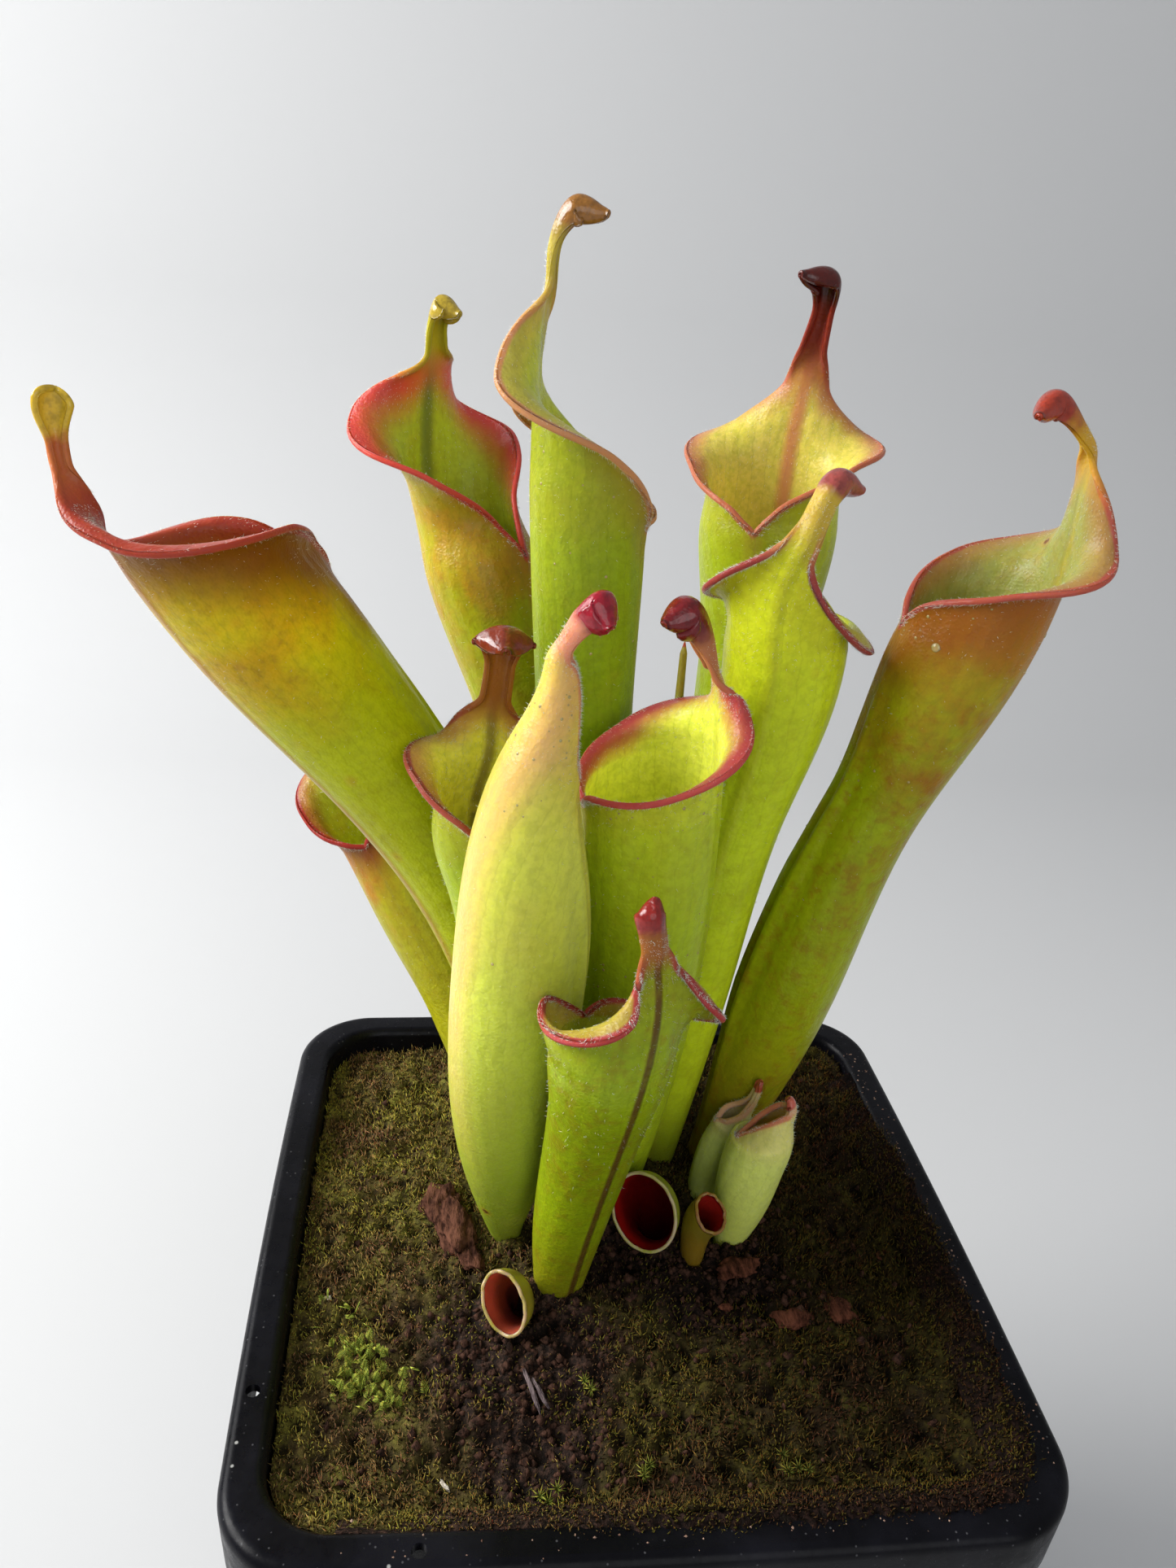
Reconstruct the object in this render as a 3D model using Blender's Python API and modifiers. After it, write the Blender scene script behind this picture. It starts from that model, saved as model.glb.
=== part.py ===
"""A sun pitcher plant in a square black nursery pot, built at its real size.

The pitchers are rolled leaves. Each one is a thin sheet that follows its own keel, the line up the
middle of the leaf's back: rolled into a tube from the foot to the throat, open above it in two
lobes, drawn in to a neck and ended by a small nectar spoon. Sizes in the tables are millimetres.
The origin is under the middle of the pot, the pot's front faces -Y and +Z is up.
"""

import math

import bmesh
import bpy
import numpy as np

MM = 0.001

# Pot
POT_HEIGHT = 125.0
POT_WIDTH = 130.0
BASE_WIDTH = 96.0
POT_WALL = 1.5
FLANGE_WIDTH = 6.6
FLANGE_THICK = 1.6
SKIRT_DEPTH = 13.0
SKIRT_WALL = 1.2
RIM_CORNER = 15.0
INNER_CORNER = 11.0
BASE_CORNER = 10.0
FLOOR_THICK = 2.0
SIDE_BULGE = 0.6
# The bevel at the pot's foot, outside and inside.
FOOT_BEVEL = 1.0
# How far the skirt's inside leans in at its top and bottom, and its outside at the bottom.
SKIRT_LEAN_TOP = 0.2
SKIRT_LEAN_FOOT = 0.5
SKIRT_LEAN_OUT = 0.4
# The rim's rounded edges, outer and inner: how far in, how much off the corner and how far down.
RIM_ROUND = ((0.0, 0.0, 1.8), (0.6, 0.4, 0.5), (1.9, 1.4, 0.0))
INNER_ROUND = ((1.7, 1.3, 0.0), (0.4, 0.3, 0.6), (0.0, 0.0, 2.0))
CORNER_STEPS = 7
SIDE_STEPS = 3
FLANGE_HOLE = 2.3
FLANGE_HOLE_PLACES = ((-62.2, -35.5), (-35.5, -62.2))
DRAIN_HOLE = 8.0
DRAIN_HOLES = 4
DRAIN_HOLE_OUT = 26.0
HOLE_SIDES = 12
SHARP_ANGLE = 40

# Soil
SOIL_TOP = 119.0
SOIL_MOUND = 3.2
SOIL_MOUND_REACH = 24.0
SOIL_ROLL = 0.7
# The two waves of the soil's roll: radians a millimetre, and the radians they start with.
SOIL_WAVE_X = (0.11, 0.4)
SOIL_WAVE_Y = (0.09, -0.7)
SOIL_RINGS = (1.0, 0.88, 0.72, 0.56, 0.40, 0.22)
CLUMP_CENTRE = (-2.0, 8.0)

# Clearances: round the soil in its pot, and round a leaf's foot in its hole in the soil. A hole is
# cut along the foot up to HOLE_TOP, which is above the soil everywhere.
SOIL_CLEAR = 0.4
HOLE_SLACK = 0.4
HOLE_TOP = 126.0

# Leaves
LEAF_THICK = 0.8
ROWS = 20
AROUND = 12
YOUNG_ROWS = 16
YOUNG_AROUND = 10
TUBE_ROWS = 9
SPIKE_ROWS = 24
SPIKE_AROUND = 10
SECTION_STEPS = 120

# A pitcher has twelve stations up its keel: foot, belly, waist, throat, brim, side, lobe, crest,
# neck, bend, cap and tip. The first four are rolled into the tube; brim and side lie between throat
# and lobe, at the fractions given. ROW_SHARES shares the rows out between one station and the next.
TUBE_STATIONS = 4
BRIM = 0.25
SIDE = 0.60
ROW_SHARES = (3, 3, 4, 3, 3, 4, 4, 2, 2, 3, 3)

# The width of each half past the throat, as parts of the throat's radius, from brim to tip.
HALF_WIDTH = (2.85, 2.05, 1.3, 0.62, 0.22, 0.24, 0.62, 0.15)
# Degrees that each half turns towards the front between the keel and its edge.
TURN = (180, 180, 180, 180, 162, 112, 60, 45, 60, 80, 125, 140)
# Degrees that the outer part of each half is bent back again.
CURL = (0, 0, 0, 0, 0, 20, 118, 80, 0, 0, 0, 0)
# Millimetres that the lip rolls outwards.
ROLL = (0, 0, 0, 0.2, 0.8, 1.1, 1.0, 0.4, 0, 0, 0, 0)
# Parts of the throat's radius that the edges hang below the keel.
DROP = (0, 0, 0, 0, 0, 0, 0.05, 0, 0, 0, 0, 0)
STRAIGHT = (0,) * 12
# Where the roll, the drop and the curl begin, as parts of the way from the keel to the edge.
ROLL_STARTS = 0.8
DROP_STARTS = 0.4
CURL_STARTS = 0.15
# The rolled lip sinks by this part of the roll.
LIP_SINKS = 0.6

# front: the side that the mouth opens to, in degrees from +X. axis and radius: the tube's middle
# line and its radius at the first four stations. crest: the keel from the lobes to the tip.
# A table named _left or _right holds for that side of the keel only. A negative drop lifts the edge.
GROWN = {
    "pitcher_left_tall": dict(
        front=30,
        axis=((-14, 20, 113), (-32, 30, 182.5), (-50, 30.5, 210.5), (-61.5, 27.5, 227)),
        radius=(3.5, 9.5, 12, 13.2),
        crest=((-86.5, 13, 248), (-89.5, 14, 252.5), (-92, 16, 257),
               (-92.5, 17, 260), (-92.5, 17, 266.5), (-92, 17, 268)),
        brim=0.36,
        side=0.66,
        half_width=(2.9, 2.25, 0.65, 0.24, 0.10, 0.10, 0.22, 0.20),
        turn=(180, 180, 180, 180, 175, 150, 60, 45, 60, 60, 60, 60),
        curl=(0, 0, 0, 0, 0, 20, 60, 60, 0, 0, 0, 0),
        roll_left=(0, 0, 0, 0.4, 3.0, 1.8, 1.0, 0.4, 0, 0, 0, 0),
        drop_left=(0, 0, 0, 0, 0.1, 0.1, 0.1, 0, 0, 0, 0, 0),
        drop_right=(0, 0, 0, 0, 0.1, 0.15, 0, 0, 0, 0, 0, 0),
        twist=(0, 0, 0, 0, 0, 0, -15, -60, -90, -100, -100, -100),
    ),
    "pitcher_left_low": dict(
        front=-110,
        axis=((-21.5, 31, 113), (-28.5, 43, 142), (-40, 51, 162), (-50.5, 57, 179)),
        radius=(3.5, 8, 8.6, 8),
        crest=((-54.5, 65, 191.5), (-54.5, 66, 196.5), (-54.5, 65, 201.5),
               (-54.5, 64, 205.5), (-54, 63, 210.5), (-54, 60, 214.5)),
        half_width_left=(2.85, 1.95, 1.15, 0.62, 0.22, 0.24, 0.62, 0.15),
    ),
    "pitcher_back_left": dict(
        front=-42,
        axis=((-1, 37, 113), (-12.5, 50.5, 185.5), (-20.5, 56, 211.5), (-28.5, 60, 233)),
        radius=(4, 9.2, 9.8, 10.8),
        crest=((-40, 72, 261.5), (-39.5, 71, 268), (-39, 69, 273),
               (-39, 68, 277), (-37, 67, 282), (-34, 64, 279.5)),
        side=0.55,
        half_width=(2.5, 1.8, 1.3, 0.75, 0.25, 0.24, 0.52, 0.15),
        half_width_left=(2.5, 1.95, 1.5, 0.8, 0.25, 0.24, 0.52, 0.15),
        drop_left=(0, 0, 0, 0, -0.1, -0.2, 0, 0, 0, 0, 0, 0),
        drop_right=(0, 0, 0, 0, -0.45, -0.75, -0.2, 0, 0, 0, 0, 0),
    ),
    "pitcher_centre_tall": dict(
        front=-15,
        axis=((-1, 26, 113), (-6, 27.5, 170.5), (-9.5, 28.5, 207.5), (-12, 27.5, 249)),
        radius=(4, 9, 8.2, 9.2),
        crest=((-21.5, 29.5, 274.5), (-21, 29.5, 281.5), (-20.5, 29.5, 288),
               (-20.5, 28.5, 292), (-17, 27, 299), (-12.5, 25, 297)),
        half_width=(2.85, 2.05, 1.3, 0.62, 0.17, 0.19, 0.55, 0.15),
        half_width_left=(2.85, 2.15, 1.6, 0.8, 0.17, 0.19, 0.55, 0.15),
        roll=(0, 0, 0, 0.4, 2.2, 1.8, 1.0, 0.4, 0, 0, 0, 0),
        drop_left=STRAIGHT,
        drop_right=(0, 0, 0, 0, 0.3, 0.9, 0.6, 0.2, 0, 0, 0, 0),
        twist=(0, 0, 0, 0, 0, 8, 8, 0, 0, 0, 0, 0),
    ),
    "pitcher_back_right": dict(
        front=-117,
        axis=((11, 35, 113), (21.5, 45, 179), (25, 53, 216), (26.5, 58, 244.5)),
        radius=(4, 8.8, 9.8, 13),
        crest=((33, 70, 263), (34, 70, 271), (34.5, 69, 278),
               (35, 68, 283.5), (34, 66, 291), (28, 62, 290.5)),
        brim=0.30,
        half_width=(2.75, 1.85, 1.15, 0.34, 0.2, 0.18, 0.42, 0.15),
        half_width_right=(2.75, 1.75, 1.1, 0.34, 0.2, 0.18, 0.42, 0.15),
        drop_left=(0, 0, 0, 0, 0, 0, 0.15, 0.05, 0, 0, 0, 0),
        drop_right=(0, 0, 0, 0, -0.15, -0.3, -0.1, 0, 0, 0, 0, 0),
    ),
    "pitcher_mid_right": dict(
        front=65,
        axis=((10, 24, 113), (15, 22, 168), (18, 20, 199), (21.5, 17, 232.5)),
        radius=(3.8, 6.9, 7.7, 10),
        crest=((16.5, 5, 247), (18, 4, 252), (20, 5, 257),
               (21, 5, 260), (24, 7, 263.7), (28.5, 11, 261)),
        brim=0.22,
        side=0.50,
        half_width_left=(2.7, 1.95, 0.95, 0.22, 0.2, 0.22, 0.42, 0.15),
        half_width_right=(2.7, 1.75, 0.95, 0.38, 0.2, 0.22, 0.42, 0.15),
        curl_left=(0, 0, 0, 0, 0, 30, 20, 10, 0, 0, 0, 0),
        curl_right=(0, 0, 0, 0, 0, 20, 60, 50, 0, 0, 0, 0),
        drop_left=(0, 0, 0, 0, 0.1, 0.75, 0.3, 0, 0, 0, 0, 0),
        drop_right=(0, 0, 0, 0, 0, 0.12, 0.22, 0.08, 0, 0, 0, 0),
    ),
    "pitcher_right_tall": dict(
        front=173,
        axis=((21, 24, 113), (33.5, 20, 165.5), (42, 17, 202), (50.5, 14, 234)),
        radius=(4, 8.5, 7.4, 10.7),
        crest=((65.5, 13, 255), (65.5, 13, 262.5), (65, 12, 269),
               (62, 11, 272.5), (57, 10, 277), (52.5, 7, 274)),
        half_width=(2.85, 1.95, 1.15, 0.6, 0.22, 0.24, 0.42, 0.15),
        half_width_right=(2.85, 1.8, 0.95, 0.6, 0.22, 0.24, 0.42, 0.15),
        drop_left=(0, 0, 0, 0, 0, -0.15, -0.2, 0, 0, 0, 0, 0),
    ),
    "pitcher_closed": dict(
        front=-12,
        axis=((-20, 3, 113), (-22.5, -1, 144.5), (-22.2, -5.4, 186), (-19.5, -7, 223.5)),
        radius=(1.2, 8.1, 10.1, 5.9),
        crest=((-20.5, -7, 236), (-20, -7, 238.5), (-18.5, -7, 241),
               (-17.5, -7, 243), (-13.5, -9, 248), (-12, -11, 244)),
        half_width=(2.6, 1.9, 1.2, 0.8, 0.5, 0.6, 1.2, 0.25),
        turn=(180, 180, 180, 180, 180, 178, 176, 150, 120, 130, 140, 140),
        curl=STRAIGHT,
        drop=STRAIGHT,
        roll=STRAIGHT,
    ),
    "pitcher_centre_open": dict(
        front=190,
        axis=((-2, 10, 113), (0, 7, 156.5), (0.2, 5, 179), (-1, 4, 212.5)),
        radius=(4.2, 9.2, 10.5, 11.2),
        crest=((8.5, 4, 227.5), (8, 4, 231), (7, 3, 234),
               (6, 3, 238), (1.5, 1, 245), (-2.5, -1, 242)),
        brim=0.20,
        side=0.42,
        half_width_left=(2.85, 1.75, 0.78, 0.42, 0.2, 0.32, 0.68, 0.12),
        half_width_right=(2.85, 1.7, 0.6, 0.38, 0.2, 0.32, 0.68, 0.12),
        turn=(180, 180, 180, 180, 162, 112, 60, 45, 60, 120, 140, 140),
        drop_right=(0, 0, 0, 0, -0.15, -0.2, 0, 0, 0, 0, 0, 0),
    ),
    "pitcher_front_small": dict(
        front=110,
        axis=((-12, -9, 113), (-11.2, -12, 134), (-8.7, -19, 166.5), (-8.3, -22.5, 179.5)),
        radius=(3.4, 5.9, 8.1, 9.3),
        crest=((-3.5, -29, 196), (-3.9, -29, 199), (-4.1, -30, 202.5),
               (-4.4, -30, 205), (-4.9, -30, 209), (-4.9, -28, 210)),
        brim=0.22,
        side=0.50,
        half_width=(2.8, 1.75, 0.9, 0.45, 0.22, 0.26, 0.42, 0.12),
        turn_right=(180, 180, 180, 180, 140, 105, 60, 45, 60, 80, 125, 140),
        drop_left=(0, 0, 0, 0, -0.2, 0, 0.3, 0.15, 0, 0, 0, 0),
        drop_right=(0, 0, 0, 0, -0.3, 0.1, 0.2, 0.1, 0, 0, 0, 0),
    ),
    "pitcher_mid_left": dict(
        front=-88,
        axis=((-16, 12, 113), (-24.5, 12.5, 173.5), (-27, 12.5, 189.5), (-29, 12.5, 201.5)),
        radius=(2.8, 5.8, 6.4, 7.2),
        crest=((-27, 20, 212.5), (-27, 20, 217.5), (-26.5, 19, 222.5),
               (-26, 18, 228), (-25.5, 15, 235.5), (-25.5, 9, 233.5)),
        brim=0.22,
        side=0.50,
        half_width=(2.8, 2.0, 1.4, 0.7, 0.35, 0.33, 0.8, 0.5),
        half_width_left=(2.9, 2.2, 1.65, 0.85, 0.35, 0.33, 0.8, 0.5),
        turn=(180, 180, 180, 180, 162, 112, 60, 45, 50, 50, 60, 80),
    ),
}

YOUNG = {
    "young_pitcher_right": dict(
        front=175,
        axis=((20.6, 0, 113), (24, 2, 127.5), (25.8, 2.5, 137), (26.8, 2.5, 142.5)),
        radius=(1.4, 5.2, 5.7, 5.4),
        crest=((31.8, 2.5, 146), (32, 2.5, 147.2), (31.9, 2.5, 148.2),
               (31.7, 2.5, 149), (31.1, 2.5, 150), (30.5, 2.5, 150.2)),
        brim=0.30,
        side=0.60,
        half_width=(2.7, 1.9, 0.95, 0.6, 0.4, 0.34, 0.34, 0.2),
        turn=(180, 180, 180, 180, 175, 160, 120, 100, 90, 90, 90, 90),
        curl=STRAIGHT,
        roll=STRAIGHT,
    ),
    "young_pitcher_small": dict(
        front=178,
        axis=((17.6, 10.6, 113), (19.4, 11.8, 125), (21.2, 12.2, 132), (23, 12.2, 136.5)),
        radius=(1.8, 2.9, 3.1, 3.1),
        crest=((26.8, 12.2, 140), (27.3, 12.2, 141.6), (27.6, 12.2, 143.2),
               (27.8, 12.2, 144.4), (27.9, 12.2, 145.6), (27.8, 12.2, 146.6)),
        brim=0.30,
        side=0.60,
        half_width=(2.7, 1.9, 0.9, 0.55, 0.4, 0.34, 0.3, 0.2),
        turn=(180, 180, 180, 180, 170, 130, 100, 100, 90, 90, 90, 90),
        curl=STRAIGHT,
        roll=STRAIGHT,
    ),
}

# line and radius: a bent tube's middle and its half width. tall: its height over its width.
JUVENILE = {
    "juvenile_tube_front": dict(
        line=((7.6, 2.6, 113), (7.4, 1.6, 121), (5.6, -2.4, 129), (3.2, -7.6, 133.2)),
        radius=(2.0, 3.4, 5.0, 5.6),
        tall=1.25,
    ),
    "juvenile_tube_dark": dict(
        line=((13.9, -4.4, 113), (14.1, -4.2, 121), (14.8, -4.8, 128), (16, -6.4, 131.4)),
        radius=(1.5, 2.0, 2.7, 3.0),
        tall=1.2,
    ),
    "juvenile_tube_left": dict(
        line=((-18.6, -12.5, 113), (-19, -13.5, 118.4), (-20.4, -16.6, 122.6), (-22.4, -20.6, 125.8)),
        radius=(1.6, 2.2, 3.1, 3.6),
        tall=1.5,
    ),
}

SPIKE = dict(
    line=((4.6, 18.2, 113), (4.8, 18.4, 150), (5, 18.6, 195), (4.8, 18.6, 233)),
    radius=(1.5, 1.4, 1.1, 0.6),
)

# Colours, as the photograph shows them, with each surface's roughness.
BLACK_PLASTIC = ((0.018, 0.018, 0.020), 0.42)
PEAT = ((0.035, 0.030, 0.018), 0.95)
LEAF_GREEN = ((0.36, 0.46, 0.05), 0.40)
LEAF_AMBER = ((0.46, 0.34, 0.05), 0.40)
LEAF_PALE = ((0.55, 0.58, 0.16), 0.45)
LEAF_DARK = ((0.22, 0.26, 0.04), 0.50)

LEAF_COLOURS = {
    "pitcher_left_tall": LEAF_AMBER,
    "pitcher_left_low": LEAF_AMBER,
    "pitcher_right_tall": LEAF_AMBER,
    "pitcher_closed": LEAF_PALE,
    "young_pitcher_right": LEAF_PALE,
    "young_pitcher_small": LEAF_PALE,
    "juvenile_tube_dark": LEAF_DARK,
}


def clear_scene():
    for thing in list(bpy.data.objects):
        bpy.data.objects.remove(thing, do_unlink=True)


def new_collection(name):
    collection = bpy.data.collections.new(name)
    bpy.context.scene.collection.children.link(collection)
    return collection


def material(name, look):
    colour, roughness = look
    made = bpy.data.materials.new(name)
    made.use_nodes = True
    shader = made.node_tree.nodes["Principled BSDF"]
    shader.inputs["Base Color"].default_value = (*colour, 1.0)
    shader.inputs["Roughness"].default_value = roughness
    shader.inputs["Metallic"].default_value = 0.0
    made.diffuse_color = (*colour, 1.0)
    return made


def natural_spline(knots, values, at):
    """The smooth curve through the values, with no bend at its ends."""
    knots = np.asarray(knots, float)
    values = np.asarray(values, float)
    count = len(knots)
    step = np.diff(knots)
    matrix = np.eye(count)
    right = np.zeros_like(values)
    for i in range(1, count - 1):
        matrix[i, i - 1:i + 2] = step[i - 1], 2 * (step[i - 1] + step[i]), step[i]
        right[i] = 6 * ((values[i + 1] - values[i]) / step[i] - (values[i] - values[i - 1]) / step[i - 1])
    bend = np.linalg.solve(matrix, right)
    at = np.asarray(at, float)
    k = np.clip(np.searchsorted(knots, at) - 1, 0, count - 2)
    ahead = (knots[k + 1] - at)[:, None]
    behind = (at - knots[k])[:, None]
    span = step[k][:, None]
    cubic = (bend[k] * ahead ** 3 + bend[k + 1] * behind ** 3) / (6 * span)
    near = (values[k] / span - bend[k] * span / 6) * ahead
    far = (values[k + 1] / span - bend[k + 1] * span / 6) * behind
    return cubic + near + far


def eased(knots, values, at):
    """The smooth curve through the values that never overshoots them."""
    knots = np.asarray(knots, float)
    values = np.asarray(values, float)
    step = np.diff(knots)
    rise = np.diff(values) / step
    slope = np.zeros(len(knots))
    slope[0], slope[-1] = rise[0], rise[-1]
    for i in range(1, len(knots) - 1):
        if rise[i - 1] * rise[i] > 0:
            before = 2 * step[i] + step[i - 1]
            after = step[i] + 2 * step[i - 1]
            slope[i] = (before + after) / (before / rise[i - 1] + after / rise[i])
    at = np.clip(np.asarray(at, float), knots[0], knots[-1])
    k = np.clip(np.searchsorted(knots, at) - 1, 0, len(knots) - 2)
    t = (at - knots[k]) / step[k]
    start = (1 + 2 * t) * (1 - t) ** 2 * values[k] + t * (1 - t) ** 2 * step[k] * slope[k]
    end = t * t * (3 - 2 * t) * values[k + 1] + t * t * (t - 1) * step[k] * slope[k + 1]
    return start + end


def unit(vectors):
    return vectors / np.maximum(np.linalg.norm(vectors, axis=-1, keepdims=True), 1e-12)


def carried(direction, tangents, points):
    """The direction carried along a line without turning about it, by reflecting it twice a step."""
    first = unit(direction - (direction @ tangents[0]) * tangents[0])
    out = [first]
    for i in range(len(points) - 1):
        chord = points[i + 1] - points[i]
        length = chord @ chord
        side = out[-1] - 2 / length * (chord @ out[-1]) * chord
        tangent = tangents[i] - 2 / length * (chord @ tangents[i]) * chord
        change = tangents[i + 1] - tangent
        size = change @ change
        if size > 1e-12:
            side = side - 2 / size * (change @ side) * change
        out.append(unit(side - (side @ tangents[i + 1]) * tangents[i + 1]))
    return np.array(out)


def lengths_along(points):
    return np.concatenate([[0.0], np.cumsum(np.linalg.norm(np.diff(points, axis=0), axis=1))])


def keel_of(leaf, front):
    """The keel's points at the stations that the table gives: the tube's back, then the crest."""
    axis = np.array(leaf["axis"], float)
    tangents = unit(np.gradient(axis, axis=0))
    back = []
    for middle, tangent, radius in zip(axis, tangents, leaf["radius"]):
        ahead = unit(front - (front @ tangent) * tangent)
        back.append(middle - ahead * radius)
    return np.concatenate([np.array(back), np.array(leaf["crest"], float)])


def frames_along(given, keel, front, at, twist, knots):
    """At each row the keel's point, its tangent, the front direction and the one to the side."""
    fine = np.linspace(0.0, given[-1], 500)
    line = natural_spline(given, keel, fine)
    tangents = unit(np.gradient(line, axis=0))
    fronts = carried(front, tangents, line)
    point = natural_spline(given, keel, at)
    tangent = unit(np.stack([np.interp(at, fine, tangents[:, i]) for i in range(3)], axis=1))
    ahead = np.stack([np.interp(at, fine, fronts[:, i]) for i in range(3)], axis=1)
    ahead = unit(ahead - (ahead * tangent).sum(axis=1, keepdims=True) * tangent)
    across = np.cross(tangent, ahead)
    angle = np.radians(eased(knots, twist, at))[:, None]
    turned = ahead * np.cos(angle) + across * np.sin(angle)
    return point, tangent, turned, across * np.cos(angle) - ahead * np.sin(angle)


def half_section(turn, curl, length):
    """One half of a row, from the keel outwards: how far across and ahead, and its heading."""
    steps = np.linspace(0.0, 1.0, SECTION_STEPS + 1)
    outer = np.clip((steps - CURL_STARTS) / (1 - CURL_STARTS), 0, 1)
    heading = turn * steps - curl * outer
    across = np.concatenate([[0.0], np.cumsum((np.cos(heading[1:]) + np.cos(heading[:-1])) / 2)])
    ahead = np.concatenate([[0.0], np.cumsum((np.sin(heading[1:]) + np.sin(heading[:-1])) / 2)])
    return steps, across * length / SECTION_STEPS, ahead * length / SECTION_STEPS, heading


def sided(leaf, key, default, shared, knots, at):
    """The table's value at each row, left and right of the keel. Both share the tube's values."""
    own = len(knots) - len(shared)
    sides = []
    for hand in ("_left", "_right"):
        values = leaf.get(key + hand, leaf.get(key, default))
        sides.append(eased(knots, [*shared, *values[-own:]], at))
    return sides


def pitcher_grid(leaf, rows, around):
    """The sheet's points, row by row up the leaf, and the number of rows closed into the tube."""
    azimuth = math.radians(leaf["front"])
    front = np.array([math.cos(azimuth), math.sin(azimuth), 0.0])
    keel = keel_of(leaf, front)
    given = lengths_along(keel)
    throat, lobe = given[TUBE_STATIONS - 1], given[TUBE_STATIONS]
    brim = throat + leaf.get("brim", BRIM) * (lobe - throat)
    side = throat + leaf.get("side", SIDE) * (lobe - throat)
    knots = np.concatenate([given[:TUBE_STATIONS], [brim, side], given[TUBE_STATIONS:]])

    at = [0.0]
    for i, share in enumerate(ROW_SHARES):
        parts = max(1, round(rows * share / sum(ROW_SHARES)))
        at += list(np.linspace(knots[i], knots[i + 1], parts + 1)[1:])
    at = np.array(at)
    closed = int(np.argmin(abs(at - throat))) + 1

    twist = leaf.get("twist", STRAIGHT)
    point, tangent, ahead, across = frames_along(given, keel, front, at, twist, knots)

    scale = leaf["radius"][-1]
    tube = [math.pi * radius / scale for radius in leaf["radius"]]
    widths = sided(leaf, "half_width", HALF_WIDTH, tube, knots, at)
    cap = np.clip((at - knots[-2]) / (knots[-1] - knots[-2]), 0, 1)
    for hand, width in enumerate(widths):
        widest = np.interp(knots[-2], at, width)
        rounded = widest * np.sqrt(np.maximum(1 - cap ** 2, 0.02))
        widths[hand] = np.where(cap > 0, rounded, width) * scale
    turns = np.radians(sided(leaf, "turn", TURN, (180,) * TUBE_STATIONS, knots, at))
    curls = np.radians(sided(leaf, "curl", CURL, (0,) * TUBE_STATIONS, knots, at))
    rolls = sided(leaf, "roll", ROLL, (), knots, at)
    drops = np.array(sided(leaf, "drop", DROP, (), knots, at)) * scale

    u = np.linspace(-1.0, 1.0, around + 1)
    out = abs(u)
    hand = np.sign(u)
    lip = np.clip((out - ROLL_STARTS) / (1 - ROLL_STARTS), 0, 1) ** 2
    hang = np.clip((out - DROP_STARTS) / (1 - DROP_STARTS), 0, 1) ** 2
    grid = np.zeros((len(at), around + 1, 3))
    for i in range(len(at)):
        for side, mine in enumerate((u < 0, u >= 0)):
            steps, x, y, heading = half_section(turns[side][i], curls[side][i], widths[side][i])
            roll = rolls[side][i] * lip[mine]
            angle = np.interp(out[mine], steps, heading)
            x = (np.interp(out[mine], steps, x) + np.sin(angle) * roll) * hand[mine]
            y = np.interp(out[mine], steps, y) - np.cos(angle) * roll
            down = hang[mine] * drops[side][i] + LIP_SINKS * roll
            grid[i, mine] = (point[i] + across[i] * x[:, None] + ahead[i] * y[:, None]
                             - tangent[i] * down[:, None])
    seam = (grid[:closed, 0] + grid[:closed, -1]) / 2
    grid[:closed, 0] = seam
    grid[:closed, -1] = seam
    return grid, closed


def tube_grid(leaf, rows, around):
    """A bent tube as a grid of points, every row of it closed."""
    line = np.array(leaf["line"], float)
    given = lengths_along(line)
    at = np.linspace(0.0, given[-1], rows)
    points = natural_spline(given, line, at)
    tangents = unit(np.gradient(points, axis=0))
    ahead = carried(np.array([1.0, 0.2, 0.0]), tangents, points)
    across = np.cross(tangents, ahead)
    radius = eased(given, leaf["radius"], at)
    turn = np.linspace(0.0, 2 * math.pi, around + 1)
    ring = np.cos(turn)[None, :, None] * ahead[:, None]
    ring = ring + leaf.get("tall", 1.0) * np.sin(turn)[None, :, None] * across[:, None]
    return points[:, None] + ring * radius[:, None, None], rows


def skin(name, grid, closed, caps):
    """A mesh over a grid. Rows below closed meet at the seam, and caps fills the named ends."""
    made = bmesh.new()
    rings = []
    for i, row in enumerate(grid):
        points = [made.verts.new(p * MM) for p in (row[:-1] if i < closed else row)]
        rings.append(points + points[:1] if i < closed else points)
    for low, high in zip(rings[:-1], rings[1:]):
        for j in range(len(low) - 1):
            corners = [low[j], low[j + 1], high[j + 1], high[j]]
            corners = [c for n, c in enumerate(corners) if c not in corners[:n]]
            made.faces.new(corners)
    for end, ring in (("foot", rings[0]), ("mouth", rings[-1])):
        if end in caps:
            middle = made.verts.new(np.mean([np.array(v.co) for v in ring[:-1]], axis=0))
            for a, b in zip(ring[:-1], ring[1:]):
                made.faces.new([middle, a, b])
    bmesh.ops.recalc_face_normals(made, faces=made.faces)
    bmesh.ops.triangulate(made, faces=made.faces, quad_method="FIXED")
    mesh = bpy.data.meshes.new(name)
    made.to_mesh(mesh)
    made.free()
    mesh.shade_smooth()
    return mesh


def add_object(name, mesh, collection, look=None):
    thing = bpy.data.objects.new(name, mesh)
    collection.objects.link(thing)
    if look:
        mesh.materials.append(look)
    return thing


def thicken(thing):
    shell = thing.modifiers.new("leaf thickness", "SOLIDIFY")
    shell.thickness = LEAF_THICK * MM
    shell.offset = 0.0
    shell.use_quality_normals = True


def leaf_object(name, grid, closed, collection, looks):
    look = LEAF_COLOURS.get(name, LEAF_GREEN)
    thing = add_object(name, skin(name, grid, closed, ("foot",)), collection, looks[look])
    thicken(thing)
    return thing


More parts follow.
